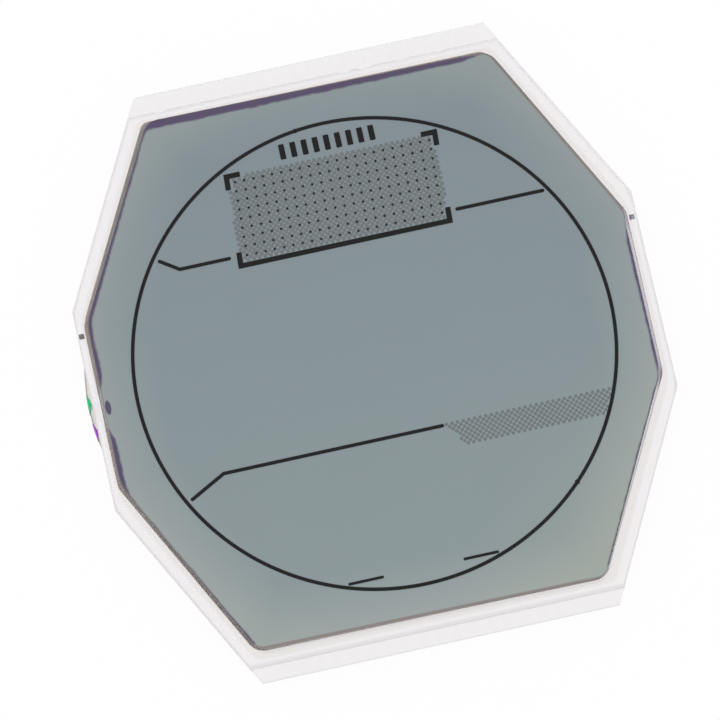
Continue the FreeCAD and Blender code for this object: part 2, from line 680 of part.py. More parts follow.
def leaning(across, up):
    """A point of the window frame: its sides lean to the right as they rise from the lower edge."""
    return "%s + (%s - %s) * %s" % (across, up, LOW, LEAN), up


inner_low = "(%s + window_line)" % LOW
arm_top = "(%s + corner_arm)" % LOW
printed("Window_bar", "window_bar", [
    leaning(LEFT, LOW), leaning(RIGHT, LOW), leaning(RIGHT, arm_top), leaning(RIGHT + " - window_line", arm_top),
    leaning(RIGHT + " - window_line", inner_low), leaning(LEFT + " + window_line", inner_low),
    leaning(LEFT + " + window_line", arm_top), leaning(LEFT, arm_top)])
inner_high = "(%s - window_line)" % HIGH
arm_low = "(%s - corner_arm)" % HIGH
printed("Left_corner", "window_left_corner", [
    leaning(LEFT, HIGH), leaning(LEFT, arm_low), leaning(LEFT + " + window_line", arm_low),
    leaning(LEFT + " + window_line", inner_high), leaning(LEFT + " + corner_arm", inner_high),
    leaning(LEFT + " + corner_arm", HIGH)])
printed("Right_corner", "window_right_corner", [
    leaning(RIGHT, HIGH), leaning(RIGHT + " - corner_arm", HIGH), leaning(RIGHT + " - corner_arm", inner_high),
    leaning(RIGHT + " - window_line", inner_high), leaning(RIGHT + " - window_line", arm_low),
    leaning(RIGHT, arm_low)])

# The tint is a field of fine grey dots. Here it is one thin flat field with the dark dots on top of it.
tint_left, tint_right = LEFT + " + window_line + tint_gap", RIGHT + " - window_line - tint_gap"
tint_low = "(%s + window_line + tint_gap)" % LOW
tint_high = "(%s - window_line - tint_gap)" % HIGH
tint_arm_low = "(%s - tint_gap)" % arm_low
tint_arm_left, tint_arm_right = LEFT + " + corner_arm + tint_gap", RIGHT + " - corner_arm - tint_gap"
tint_body = plate("Window_tint", [[
    leaning(tint_left, tint_low), leaning(tint_right, tint_low), leaning(tint_right, tint_arm_low),
    leaning(tint_arm_right, tint_arm_low), leaning(tint_arm_right, tint_high),
    leaning(tint_arm_left, tint_high), leaning(tint_arm_left, tint_arm_low),
    leaning(tint_left, tint_arm_low)]], "tint_thick")
place(tint_body, "print_right", "print_up", INK_LEVEL)
node(tint_body, "window_tint")
node(group("Window_dots", dots, INK_LEVEL + " + tint_thick"), "window_dots")

# The rules are level, and two of them bend and run on towards the ring.
rule_level = "(%s + rule_up)" % LOW
rule_low, rule_high = "(%s - rule_line / 2)" % rule_level, "(%s + rule_line / 2)" % rule_level
left_inner, right_inner = "(%s - rule_gap)" % LEFT, "(%s + rule_gap)" % RIGHT
left_outer = "(-%s)" % reach("upper_left_end", rule_level + " + upper_left_rise")
left_bend = "(%s + upper_left_run)" % left_outer
right_outer = reach("upper_right_end", rule_level)
bend_aside = "rule_line / 4"
printed("Upper_left_rule", "upper_left_rule", [
    (left_inner, rule_low), (left_inner, rule_high), (left_bend + " + " + bend_aside, rule_high),
    (left_outer + " + " + bend_aside, rule_high + " + upper_left_rise"),
    (left_outer + " - " + bend_aside, rule_low + " + upper_left_rise"),
    (left_bend + " - " + bend_aside, rule_low)])
printed("Upper_right_rule", "upper_right_rule", [
    (right_inner, rule_low), (right_outer, rule_low), (right_outer, rule_high), (right_inner, rule_high)])
lower_low, lower_high = "(lower_rule_up - rule_line / 2)", "(lower_rule_up + rule_line / 2)"
lower_outer = "(-%s)" % reach("lower_rule_bend", "lower_rule_up - lower_rule_drop")
lower_bend = "(%s + lower_rule_run)" % lower_outer
printed("Lower_rule", "lower_rule", [
    ("lower_rule_end", lower_low), ("lower_rule_end", lower_high), (lower_bend + " - " + bend_aside, lower_high),
    (lower_outer + " - " + bend_aside, lower_high + " - lower_rule_drop"),
    (lower_outer + " + " + bend_aside, lower_low + " - lower_rule_drop"),
    (lower_bend + " + " + bend_aside, lower_low)])


tick_level = "(-%s)" % reach("tick_up", "tick_left_at")
tick_low, tick_high = "(%s - tick_line / 2)" % tick_level, "(%s + tick_line / 2)" % tick_level


def tick(name, label, left, right):
    """A short level tick near the bottom of the ring."""
    return printed(name, label, [(left, tick_low), (right, tick_low), (right, tick_high), (left, tick_high)])


tick("Left_tick", "left_tick", "tick_left_at", "tick_left_at + tick_length")
tick("Right_tick", "right_tick", "tick_right_at - tick_length", "tick_right_at")

# The tinted band starts at the end of the lower rule, and its two outer corners touch the ring.
band_low = "(%s - band_tall)" % lower_high
band_body = plate("Band_tint", [[
    ("band_left", lower_high), ("band_left + band_slope", band_low), (reach("0", band_low), band_low),
    (reach("0", lower_high), lower_high)]], "tint_thick")
place(band_body, "print_right", "print_up", INK_LEVEL)
node(band_body, "band_tint")

bar_count = int(size("bar_count"))
bar_level = print_y + number(BAR_LEVEL)
bars = [oblong(print_x + (index - (bar_count - 1) / 2) * size("bar_pitch"), bar_level,
               size("bar_width"), size("bar_tall"), size("ink_thick")) for index in range(bar_count)]
node(group("Level_bars", bars, INK_LEVEL), "level_bars")

doc.recompute()

for thing in doc.Objects:
    if "Invalid" in thing.State or "Error" in thing.State:
        raise RuntimeError("%s failed: %s" % (thing.Name, thing.State))
os.makedirs("parts", exist_ok=True)
for piece in nodes:
    shape = piece.Shape
    if shape.isNull() or not shape.isValid() or not shape.Solids:
        raise RuntimeError("%s has no valid solid" % piece.Label)
    shape.exportStep("parts/%s.step" % piece.Label)
    box = shape.BoundBox
    print("%-22s %4d solids  %.5f mm3  x %.2f..%.2f  y %.2f..%.2f  z %.3f..%.3f" % (
        piece.Label, len(shape.Solids), shape.Volume, box.XMin, box.XMax, box.YMin, box.YMax, box.ZMin, box.ZMax))
print(len(nodes), "nodes")
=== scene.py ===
# %% [markdown]
# # The liquid crystal screen of a round digital watch
# The screen is a sandwich under two millimetres thick: reflector, rear polarising film, rear glass, a cell a
# hundredth of a millimetre deep, front glass, front polarising film and black print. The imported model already
# holds every layer in its place. This lesson gives each layer its look, and makes the ones that need it anew.

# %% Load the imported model
import math
import bpy
import numpy as np
from mathutils import Matrix, Vector


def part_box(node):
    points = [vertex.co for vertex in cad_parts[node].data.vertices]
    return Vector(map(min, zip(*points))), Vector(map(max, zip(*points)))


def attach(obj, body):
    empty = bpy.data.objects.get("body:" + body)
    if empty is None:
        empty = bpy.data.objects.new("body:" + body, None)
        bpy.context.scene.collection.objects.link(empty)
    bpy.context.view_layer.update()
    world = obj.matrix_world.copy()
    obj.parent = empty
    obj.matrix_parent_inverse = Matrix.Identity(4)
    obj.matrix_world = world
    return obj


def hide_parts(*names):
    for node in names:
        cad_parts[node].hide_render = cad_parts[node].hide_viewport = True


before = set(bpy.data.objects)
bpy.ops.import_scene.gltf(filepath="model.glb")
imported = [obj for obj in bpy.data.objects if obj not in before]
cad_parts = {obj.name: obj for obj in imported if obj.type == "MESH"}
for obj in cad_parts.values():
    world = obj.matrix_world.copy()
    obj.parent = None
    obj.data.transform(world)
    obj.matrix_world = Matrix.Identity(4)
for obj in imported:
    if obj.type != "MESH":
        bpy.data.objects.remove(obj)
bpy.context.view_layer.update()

MM = 0.001

# %% [markdown]
# ## Outlines
# Every layer is a flat sheet, so its shape is a closed outline. An outline with straight sides and rounded
# corners is worked out for all corners at once: each corner becomes an arc that touches both of its sides.

# %% Rounded outlines
SQUARE = np.array([(-1, -1), (1, -1), (1, 1), (-1, 1)])


def rounded(corners, radius, steps=8):
    """Points (n, 2) of a closed outline whose corners are arcs.

    At a corner the path turns by the angle between its two sides. The arc starts radius * tan(turn / 2) before
    the corner, and its points are the arc's middle plus the radius turned step by step. One radius, or one each.
    """
    corners = np.asarray(corners, float)
    radius = np.broadcast_to(np.asarray(radius, float), len(corners))[:, None]
    into = corners - np.roll(corners, 1, 0)
    into /= np.linalg.norm(into, axis=1, keepdims=True)
    out = np.roll(into, -1, 0)
    turn = np.arctan2(into[:, 0] * out[:, 1] - into[:, 1] * out[:, 0], (into * out).sum(1))[:, None]
    inward = np.stack([-into[:, 1], into[:, 0]], 1) * np.sign(turn)
    middle = corners - into * radius * np.tan(np.abs(turn) / 2) + inward * radius
    angle = turn * np.linspace(0, 1, steps + 1)
    spoke = -inward[:, None, :]
    turned = np.stack([spoke[..., 0] * np.cos(angle) - spoke[..., 1] * np.sin(angle),
                       spoke[..., 0] * np.sin(angle) + spoke[..., 1] * np.cos(angle)], 2)
    return (middle[:, None, :] + radius[:, :, None] * turned).reshape(-1, 2)


def inset(outline, depth):
    """An outline moved inwards: each point goes depth along the left normal of the line through its neighbours."""
    along = np.roll(outline, -1, -2) - np.roll(outline, 1, -2)
    along /= np.linalg.norm(along, axis=-1, keepdims=True)
    return outline + depth * np.stack([-along[..., 1], along[..., 0]], -1)


def moved(outline, right, up, turn=0.0):
    """An outline turned about the origin by an angle in degrees, and then shifted."""
    cos, sin = math.cos(math.radians(turn)), math.sin(math.radians(turn))
    return outline @ np.array([[cos, sin], [-sin, cos]]) + np.array([right, up])


# %% [markdown]
# ## Sheets
# A sheet is its outline carried up: a wall from the lower outline to the upper one, a small bevel so that the
# edge catches light, a floor and a roof. A band, such as the ring or the seal, is a four-sided profile carried
# along a path between two matched outlines.


# %% Meshes from points and faces
def piece(name, points, faces, nodes, slot):
    """A scene piece from points in millimetres, riding on the screen and standing for the named solids."""
    mesh = bpy.data.meshes.new(name)
    mesh.from_pydata((np.asarray(points) * MM).tolist(), [], [list(face) for face in faces])
    mesh.validate()
    thing = bpy.data.objects.new(name, mesh)
    bpy.context.scene.collection.objects.link(thing)
    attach(thing, "root")
    if nodes:
        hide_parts(*nodes)
    print("%-20s %6d faces" % (name, len(mesh.polygons)))
    return thing


def walls(rings, n):
    """Four-sided faces (count, 4) that join each ring of n points to the next, as numbers of points."""
    ring = np.arange(rings - 1)[:, None] * n
    here, there = np.arange(n)[None], (np.arange(n)[None] + 1) % n
    return np.stack([ring + here, ring + there, ring + n + there, ring + n + here], 2).reshape(-1, 4)


def sheets(outlines, low, high, bevel=0.0):
    """Points and faces of flat sheets over outlines (count, n, 2), with a floor, a wall, a bevel and a roof.

    The rings of one sheet are the outline at the low level, the same just under the top, and the outline moved
    in by the bevel at the top.
    """
    outlines = np.asarray(outlines, float)
    outlines = outlines[None] if outlines.ndim == 2 else outlines
    count, n = outlines.shape[:2]
    layers = [(outlines, low), (outlines, high)]
    if bevel:
        layers = [(outlines, low), (outlines, high - bevel), (inset(outlines, bevel), high)]
    rings = np.stack([np.concatenate([flat, np.full((count, n, 1), level)], 2) for flat, level in layers], 1)
    tall = len(layers)
    start = (np.arange(count) * tall * n)[:, None, None]
    upright = (start + walls(tall, n)).reshape(-1, 4).tolist()
    floors = (start[:, 0] + np.arange(n)[::-1]).tolist()
    roofs = (start[:, 0] + (tall - 1) * n + np.arange(n)).tolist()
    return rings.reshape(-1, 3), upright + floors + roofs


def band(outer, inner, low, high, closed=True):
    """Points and faces of a band between two matched outlines: a four-sided profile carried along the path."""
    n = len(outer)
    corners = [(outer, low), (outer, high), (inner, high), (inner, low)]
    points = np.stack([np.concatenate([flat, np.full((n, 1), level)], 1) for flat, level in corners], 1)
    last = n if closed else n - 1
    here = np.arange(last)[:, None] * 4
    there = (np.arange(last)[:, None] + 1) % n * 4
    side, beside = np.arange(4)[None], (np.arange(4)[None] + 1) % 4
    faces = np.stack([here + side, there + side, there + beside, here + beside], 2).reshape(-1, 4).tolist()
    if not closed:
        faces += [[0, 1, 2, 3], [4 * n - 1, 4 * n - 2, 4 * n - 3, 4 * n - 4]]
    return points.reshape(-1, 3), faces


# %% [markdown]
# ## The glass octagon
# All layers follow the same eight-sided outline, drawn inwards by three margins: one at the flanks, one at the
# two ends and one at the slanted sides.

# %% The octagon and its margins
HALF_WIDE, HALF_TALL, HALF_END, HALF_FLANK = 15.0, 16.0, 9.45, 5.35
RUN, DROP = HALF_WIDE - HALF_END, HALF_TALL - HALF_FLANK
SLANT = math.hypot(RUN, DROP)


def octagon(side_margin, end_margin, slant_margin):
    """Corners of the octagon, counterclockwise from the lower end of the right flank.

    A slanted side keeps its direction, so its ends lie where the moved slant meets the moved end and flank.
    """
    wide, tall = HALF_WIDE - side_margin, HALF_TALL - end_margin
    end = HALF_END + (RUN * end_margin - slant_margin * SLANT) / DROP
    flank = HALF_FLANK + (DROP * side_margin - slant_margin * SLANT) / RUN
    return np.array([(wide, -flank), (wide, flank), (end, tall), (-end, tall),
                     (-wide, flank), (-wide, -flank), (-end, -tall), (end, -tall)])


# %% [markdown]
# ## Levels
# The pieces made here keep a hair of air to their neighbours, and the films a little more to the glass. Two
# surfaces at the same height would fight for each ray of light, and the render would speckle. Electrodes and
# marks reach a set depth from their plate.

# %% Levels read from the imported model
HAIR, AIR, CLEAR_DEEP = 0.0006, 0.004, 0.0016


def levels(node):
    """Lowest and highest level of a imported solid, in millimetres."""
    low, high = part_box(node)
    return low.z / MM, high.z / MM


reflector_low, reflector_high = levels("reflector")
rear_film_low, rear_film_high = levels("rear_polariser")
cell_low, cell_high = levels("perimeter_seal")
front_film_low, front_film_high = levels("front_polariser")
print_low, print_high = levels("printed_ring")
print("cell from %.3f to %.3f mm, print from %.3f to %.3f mm" % (cell_low, cell_high, print_low, print_high))

# %% [markdown]
# ## The films
# Front polariser, rear polariser and reflector are cut to one rounded octagon. They were stuck on by hand, each
# a little turned and shifted, and the photo shows it as bands of different width along the edges.

# %% Films and reflector
FILM_MARGINS, FILM_RADIUS = (0.57, 1.55, 0.93), 1.0
FRONT_SHIFT, REAR_SHIFT = (0.01, 0.0, -0.55), (-0.15, 0.15, -0.3)
film_outline = rounded(octagon(*FILM_MARGINS), FILM_RADIUS, 12)
front_outline = moved(film_outline, *FRONT_SHIFT)
rear_outline = moved(film_outline, *REAR_SHIFT)
front_film = piece("front_film_sheet", *sheets(front_outline, front_film_low + AIR, front_film_high - HAIR, 0.012),
                   ["front_polariser"], "front_film")
rear_film = piece("rear_film_sheet", *sheets(rear_outline, rear_film_low + HAIR, rear_film_high - AIR, 0.012),
                  ["rear_polariser"], "rear_film")
foil = piece("reflector_sheet", *sheets(rear_outline, reflector_low, reflector_high - HAIR, 0.006),
             ["reflector"], "reflector_foil")

# %% [markdown]
# ## The seal and its fill port
# The seal is one line of epoxy. It starts at the lower lip of the port, runs round the whole cell and ends at
# the upper lip. Each lip turns out to the glass edge in an arc, so the two arcs leave a throat between them.

# %% Path of the seal
PORT_UP, THROAT, FLARE, LIP_HALF = -0.05, 0.7, 2.4, 2.4
SEAL_OUTER, SEAL_WIDE, SEAL_RADIUS = (0.2, 1.13, 0.42), 0.63, 1.1
seal_side = HALF_WIDE - SEAL_OUTER[0] - SEAL_WIDE
flare_deep = SEAL_OUTER[0] + SEAL_WIDE
flare_half = THROAT / 2 + math.sqrt(FLARE ** 2 - (FLARE - flare_deep) ** 2)
arc = np.linspace(math.asin((flare_half - THROAT / 2) / FLARE) - 0.02, 0, 16)
STEP = 0.01


def lip(side):
    """Matched outer and inner points of one lip, from its throat to the straight seal: side is -1 below, 1 above.

    The inner points run on the flare's circle, and the outer ones lie at the same height on the glass edge.
    """
    inner = np.stack([-seal_side - FLARE + FLARE * np.cos(arc),
                      PORT_UP + side * (flare_half - FLARE * np.sin(arc))], 1)
    ends = PORT_UP + side * (LIP_HALF + np.array([0, STEP]))
    inner = np.concatenate([inner, np.stack([np.full(2, -seal_side), ends], 1)])
    edge = np.full(len(inner), -HALF_WIDE)
    edge[-1] += SEAL_OUTER[0]
    return np.stack([edge, inner[:, 1]], 1), inner


lower_outer, lower_inner = lip(-1)
upper_outer, upper_inner = lip(1)
corner_steps = 12
first = 5 * (corner_steps + 1)
around_outer = np.roll(rounded(octagon(*SEAL_OUTER), 0.2, corner_steps), -first, 0)
around_inner = np.roll(rounded(octagon(*[margin + SEAL_WIDE for margin in SEAL_OUTER]), SEAL_RADIUS,
                               corner_steps), -first, 0)
seal_outer = np.concatenate([lower_outer, around_outer, upper_outer[::-1]])
seal_inner = np.concatenate([lower_inner, around_inner, upper_inner[::-1]])

# %% Seal, island and fluid
SEAL_LOW, SEAL_HIGH = cell_low + 0.0022, cell_high - 0.0022
FLUID_LOW, FLUID_HIGH = cell_low + 0.0025, cell_low + 0.0035
seal = piece("seal_line", *band(seal_outer, seal_inner, SEAL_LOW, SEAL_HIGH, closed=False),
             ["perimeter_seal"], "seal_epoxy")
PILLAR_IN, PILLAR_LONG, PILLAR_WIDE = 0.8, 0.86, 0.34
round_angle = np.linspace(0, 2 * np.pi, 48, endpoint=False)
pillar_outline = np.stack([-HALF_WIDE + PILLAR_IN + PILLAR_WIDE / 2 * np.cos(round_angle),
                           PORT_UP + PILLAR_LONG / 2 * np.sin(round_angle)], 1)
pillar = piece("port_island", *sheets(pillar_outline, FLUID_HIGH + HAIR, SEAL_HIGH), ["port_pillar"], "seal_epoxy")
PLUG_DEEP = 0.45
in_cell = seal_inner[seal_inner[:, 0] > -HALF_WIDE + PLUG_DEEP]
fluid = piece("fluid_pool", *sheets(inset(in_cell, 0.002), FLUID_LOW, FLUID_HIGH), ["liquid_crystal"],
              "crystal_fluid")

# %% [markdown]
# ## The resin bead
# Resin closes the port and stands off the glass edge as a low bead. Its surface is a round bar bent about an
# upright axis, cut off flat by the glass edge, so it tapers to a point at both ends.

# %% Bead and plug
BEAD_UP, BEAD_HALF, BEAD_PROUD, BEAD_SINK = 0.17, 2.24, 0.22, 0.21
bar_radius = BEAD_SINK + BEAD_PROUD
bend = (BEAD_HALF ** 2 + BEAD_PROUD ** 2) / (2 * BEAD_PROUD) - bar_radius
cell_middle = (cell_low + cell_high) / 2


def bead_out(aside, level, skin=0.0):
    """Place across the glass edge of the bead's surface, grown by a skin.

    At a level off the bar's middle line the bar reaches bend + root(radius^2 - level^2) from the upright axis,
    and Pythagoras with the distance aside gives how far left of that axis the surface lies.
    """
    reach = bend + np.sqrt(np.clip((bar_radius + skin) ** 2 - level ** 2, 0, None))
    return -HALF_WIDE + BEAD_SINK + bend - np.sqrt(np.clip(reach ** 2 - aside ** 2, 0, None))


along = np.linspace(-1, 1, 65) * BEAD_HALF * 0.999
half_tall = np.sqrt(bar_radius ** 2 - (np.sqrt((BEAD_SINK + bend) ** 2 + along ** 2) - bend) ** 2)
swing = np.linspace(-1, 1, 25)
ys = np.repeat(along[:, None], len(swing), 1)
zs = half_tall[:, None] * np.sin(swing[None] * np.pi / 2)
xs = np.minimum(bead_out(ys, zs), -HALF_WIDE - 0.001)
xs[:, [0, -1]] = -HALF_WIDE - 0.001
bead_points = np.stack([xs, BEAD_UP + ys, cell_middle + zs], 2)
rows, loop = bead_points.shape[:2]
tips = [list(range(loop))[::-1], list(range((rows - 1) * loop, rows * loop))]
bead_faces = walls(rows, loop).tolist() + tips
lower_side = lower_inner[lower_inner[:, 0] <= -HALF_WIDE + PLUG_DEEP]
upper_side = lower_side * (1, -1) + (0, 2 * PORT_UP)
plug_outline = np.concatenate([lower_side, upper_side[::-1]])
plug_points, plug_faces = sheets(inset(plug_outline, 0.002), SEAL_LOW, SEAL_HIGH)
bead_points = np.concatenate([bead_points.reshape(-1, 3), plug_points])
bead_faces += [[corner + rows * loop for corner in face] for face in plug_faces]
bead = piece("resin_bead", bead_points, bead_faces, ["end_seal"], "clear_resin")

# %% [markdown]
# Two spots of ink mark the bead. Each is a disc laid over the bead: rings of points round its middle, with the
# bead's formula giving how far out each point lies, once for the skin's inside and once for its outside.


# %% Ink spots on the bead
def bead_spot(name, node, up, radius, tall, waves, slot):
    """A thin leaf of ink over the bead: an ellipse that narrows towards its ends, with a few waves in its rim."""
    share = np.linspace(0.04, 1, 14)[:, None]
    angle = np.linspace(0, 2 * np.pi, 56, endpoint=False)[None]
    wobble = 1 + 0.05 * np.sin(waves * angle + up) + 0.05 * np.cos((2 * waves + 5) * angle)
    aside = share * radius * wobble * np.cos(angle)
    level = share * wobble * np.sin(angle) * (tall - (tall - 0.2) * (aside / radius) ** 2)
    skins = []
    for skin in (0.002, 0.02):
        out = np.minimum(bead_out(up - BEAD_UP + aside, level, skin), -HALF_WIDE - 0.002 - skin / 2)
        skins.append(np.stack([out, up + aside, cell_middle + level], 2))
    rings = np.concatenate([skins[0], skins[1][::-1]])
    count, n = rings.shape[:2]
    faces = walls(count, n)[:, [0, 3, 2, 1]].tolist()
    faces += [list(range(n)), [(count - 1) * n + index for index in range(n)][::-1]]
    return piece(name, rings.reshape(-1, 3), faces, [node], slot)


green_spot = bead_spot("green_spot", "green_ink_spot", 0.4, 0.56, 0.37, 3, "green_ink")
purple_spot = bead_spot("purple_spot", "purple_ink_spot", -1.12, 0.5, 0.33, 4, "purple_ink")

# %% [markdown]
# ## Alignment marks
# Two small dark squares lie under the front plate, level with each other. They are etched film, so their
# corners are a little round. Each has two tones, one in a strip on the side towards the middle.

# %% Marks
MARK_SHIFT, MARK_RADIUS, MARK_STRIP = (-0.02, 0.06), 0.05, 0.1
marks = {}
for name, node in (("left_mark", "left_alignment_mark"), ("right_mark", "right_alignment_mark")):
    low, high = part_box(node)
    corners = np.array([(low.x, low.y), (high.x, low.y), (high.x, high.y), (low.x, high.y)]) / MM + MARK_SHIFT
    marks[name] = piece(name, *sheets(rounded(corners, MARK_RADIUS), cell_high - CLEAR_DEEP, cell_high - HAIR),
                        [node], "mark_film")
MARK_SPLIT = np.abs(corners[:, 0]).min() + MARK_STRIP
print("the marks change colour %.2f mm from the middle" % MARK_SPLIT)

# %% [markdown]
# ## The print
# Everything black lies on the front film. The print is shifted as a whole, a little to the left and a fifth of a
# millimetre down. The ring is a band between two circles, and at two places a blob of ink makes it wider.

# %% The ring
PRINT_RIGHT, PRINT_UP = -0.03, -0.205
INK_LOW, INK_HIGH = print_low + HAIR, print_high - HAIR
RING_RADIUS, RING_LINE = 12.712, 0.185
RIM = 12.53
BLOBS = [(96.8, 0.12), (-46.0, 0.13)]
turns = np.sort(np.concatenate([np.linspace(0, 360, 480, endpoint=False)]
                               + [angle % 360 + np.linspace(-0.62, 0.62, 19) for angle, radius in BLOBS]))
half_line = np.full(len(turns), RING_LINE / 2)
for angle, radius in BLOBS:
    off = np.radians((turns - angle + 180) % 360 - 180) * (RING_RADIUS - RING_LINE / 2)
    half_line = np.maximum(half_line, np.sqrt(np.clip(radius ** 2 - off ** 2, 0, None)))
spokes = np.stack([np.cos(np.radians(turns)), np.sin(np.radians(turns))], 1)
shift = np.array([PRINT_RIGHT, PRINT_UP])
mid_line = RING_RADIUS - RING_LINE / 2
ring = piece("ink_ring", *band(spokes * (mid_line + half_line[:, None]) + shift,
                               spokes * (mid_line - half_line[:, None]) + shift, INK_LOW, INK_HIGH),
             ["printed_ring"], "black_ink")

# %% [markdown]
# The window's frame is an angle at each upper corner and a bar with two arms below. Its sides lean, so a helper
# shifts each point to the right by its height times the lean. Ink runs a little, so all corners are rounded.

# %% The window's frame
LEAN = math.tan(math.radians(3.1))
WINDOW_LEFT, WINDOW_WIDE, WINDOW_TALL, WINDOW_LINE, BAR_LINE, ARM = -5.97, 11.485, 5.147, 0.28, 0.27, 0.87
window_right = WINDOW_LEFT + WINDOW_WIDE
window_high = math.sqrt((RIM - 0.079) ** 2 - (window_right + WINDOW_TALL * LEAN) ** 2)
window_low = window_high - WINDOW_TALL


def leaning(points):
    """Points of the print's frame, leaned with the window and shifted with the print."""
    points = np.asarray(points, float)
    return points + np.stack([(points[:, 1] - window_low) * LEAN, np.zeros(len(points))], 1) + shift


left, right, low, high, line = WINDOW_LEFT, window_right, window_low, window_high, WINDOW_LINE
bar_corners = [(left, low), (right, low), (right, low + ARM), (right - line, low + ARM),
               (right - line, low + BAR_LINE), (left + line, low + BAR_LINE), (left + line, low + ARM),
               (left, low + ARM)]
left_corners = [(left, high), (left, high - ARM), (left + line, high - ARM), (left + line, high - line),
                (left + ARM, high - line), (left + ARM, high)]
right_corners = [(right, high), (right - ARM, high), (right - ARM, high - line), (right - line, high - line),
                 (right - line, high - ARM), (right, high - ARM)]
for name, node, corners in (("window_foot", "window_bar", bar_corners),
                            ("window_left_angle", "window_left_corner", left_corners),
                            ("window_right_angle", "window_right_corner", right_corners)):
    piece(name, *sheets(rounded(leaning(corners), 0.035, 5), INK_LOW, INK_HIGH, 0.004), [node], "black_ink")

# %% [markdown]
# The rules are thin lines with round ends. Two of them bend, and run on towards the ring.

# %% Rules and ticks
RULE, TICK = 0.185, 0.145
rule_level = window_low + 0.66


def stroke(path, breadth):
    """Outline of a line of ink along a bent path of two or three points, with round ends and a mitred bend."""
    path = np.asarray(path, float) + shift
    along = np.diff(path, axis=0)
    along /= np.linalg.norm(along, axis=1, keepdims=True)
    aside = np.stack([-along[:, 1], along[:, 0]], 1)
    bisector = np.concatenate([aside[:1], aside[:-1] + aside[1:], aside[-1:]])
    bisector /= np.linalg.norm(bisector, axis=1, keepdims=True)
    stretch = 1 / (bisector * np.concatenate([aside[:1], aside])).sum(1, keepdims=True)
    step = bisector * stretch * breadth / 2
    corners = np.concatenate([path - step, (path + step)[::-1]])
    radius = np.full(len(corners), 0.02)
    radius[[0, len(path) - 1, len(path), -1]] = breadth * 0.46
    return rounded(corners, radius, 6)


upper_left_out = -math.sqrt((RIM - 0.18) ** 2 - (rule_level + 0.7) ** 2)
upper_right_out = math.sqrt((RIM - 0.1) ** 2 - rule_level ** 2)
lower_level = -4.64
lower_out = -math.sqrt((RIM - 0.15) ** 2 - (lower_level - 1.03) ** 2)
tick_level = -math.sqrt((RIM - 0.09) ** 2 - 4.0 ** 2)
rules = {
    "upper_left_line": ("upper_left_rule", RULE, [(upper_left_out, rule_level + 0.7),
                                                  (upper_left_out + 1.02, rule_level), (left - 0.28, rule_level)]),
    "upper_right_line": ("upper_right_rule", RULE, [(right + 0.28, rule_level), (upper_right_out, rule_level)]),
    "lower_line": ("lower_rule", RULE, [(lower_out, lower_level - 1.03), (lower_out + 1.95, lower_level),
                                        (2.67, lower_level)]),
    "left_tick_line": ("left_tick", TICK, [(-4.0, tick_level), (-4.0 + 1.88, tick_level)]),
    "right_tick_line": ("right_tick", TICK, [(3.98 - 1.88, tick_level), (3.98, tick_level)]),
}
for name, (node, breadth, path) in rules.items():
    piece(name, *sheets(stroke(path, breadth), INK_LOW, INK_HIGH, 0.004), [node], "black_ink")

# %% [markdown]
# Nine plain bars stand in a row above the window. One bar is worked out, and copies of it go to all nine places.

# %% Bars above the window
BARS, BAR_PITCH, BAR_WIDE, BAR_TALL = 9, 0.6, 0.3, 0.82
bar_middle = np.array([PRINT_RIGHT, PRINT_UP + RIM - 0.96])
bar = rounded(np.array([(-1, -1), (1, -1), (1, 1), (-1, 1)]) * (BAR_WIDE / 2, BAR_TALL / 2), 0.05, 4)
bar_places = bar_middle + np.stack([(np.arange(BARS) - (BARS - 1) / 2) * BAR_PITCH, np.zeros(BARS)], 1)
piece("plain_bars", *sheets(bar[None] + bar_places[:, None], INK_LOW, INK_HIGH, 0.004), ["level_bars"], "black_ink")

# %% [markdown]
# ## Fields of dots
# The window is filled with fine grey dots in staggered rows, and over them stands a lattice of dark dots that
# leans with the window. The band at the lower right has the same rows of slightly smaller dots. A dot is a
# ten-sided sheet, and one outline is shifted to all places at once.
#
# A field starts at its left and low side and has a width and a height. Dots whose middles lie too near the
# frame's lines, the ends of its arms, or the window's sides, foot or top are left out.

# %% Dots
FINE_DOT, BAND_DOT, DARK_DOT, DOT_SIDES = 0.205, 0.186, 0.128, 10
FINE_COLUMN, FINE_ROW = 0.3, 0.15
WINDOW_FIELD, BAND_FIELD = (-6.0, 6.06, 12.0, 4.6), (2.77, -6.02, 9.0, 1.25)
NEAR_LINE, NEAR_END, NEAR_SIDE, NEAR_FOOT, NEAR_TOP = 0.09, 0.07, 0.16, 0.08, 0.2
COLUMNS, ROWS, DOT_PITCH, DOT_IN, DOT_LOW = 22, 9, 0.498, 0.544, 0.64
BAND_TOP, BAND_START, BAND_SLANT, RING_GAP = -4.815, 2.74, 0.1, 0.02


def dots(name, node, places, size, low, high, slot):
    """Round dots as flat sheets: an outline with few sides and the given size at every place (n, 2)."""
    angle = np.linspace(0, 2 * np.pi, DOT_SIDES, endpoint=False)
    outline = size / 2 * np.stack([np.cos(angle), np.sin(angle)], 1)
    return piece(name, *sheets(outline[None] + places[:, None], low, high), [node], slot)


def staggered(left, low, wide, tall):
    """Places of fine dots over a field, every second row shifted by half a column."""
    row, column = np.mgrid[0:int(tall / FINE_ROW) + 1, 0:int(wide / FINE_COLUMN) + 2]
    across = left + column * FINE_COLUMN + row % 2 * FINE_COLUMN / 2
    return np.stack([across, low + row * FINE_ROW], 2).reshape(-1, 2)


def lattice(rows, columns, off=0.0):
    """Places of the dark dots, or with off at a half those of the fields between them."""
    row, column = np.mgrid[0:rows, 0:columns] + off
    places = np.stack([left + DOT_IN + column * DOT_PITCH, low + DOT_LOW + row * DOT_PITCH], 2)
    return leaning(places.reshape(-1, 2))


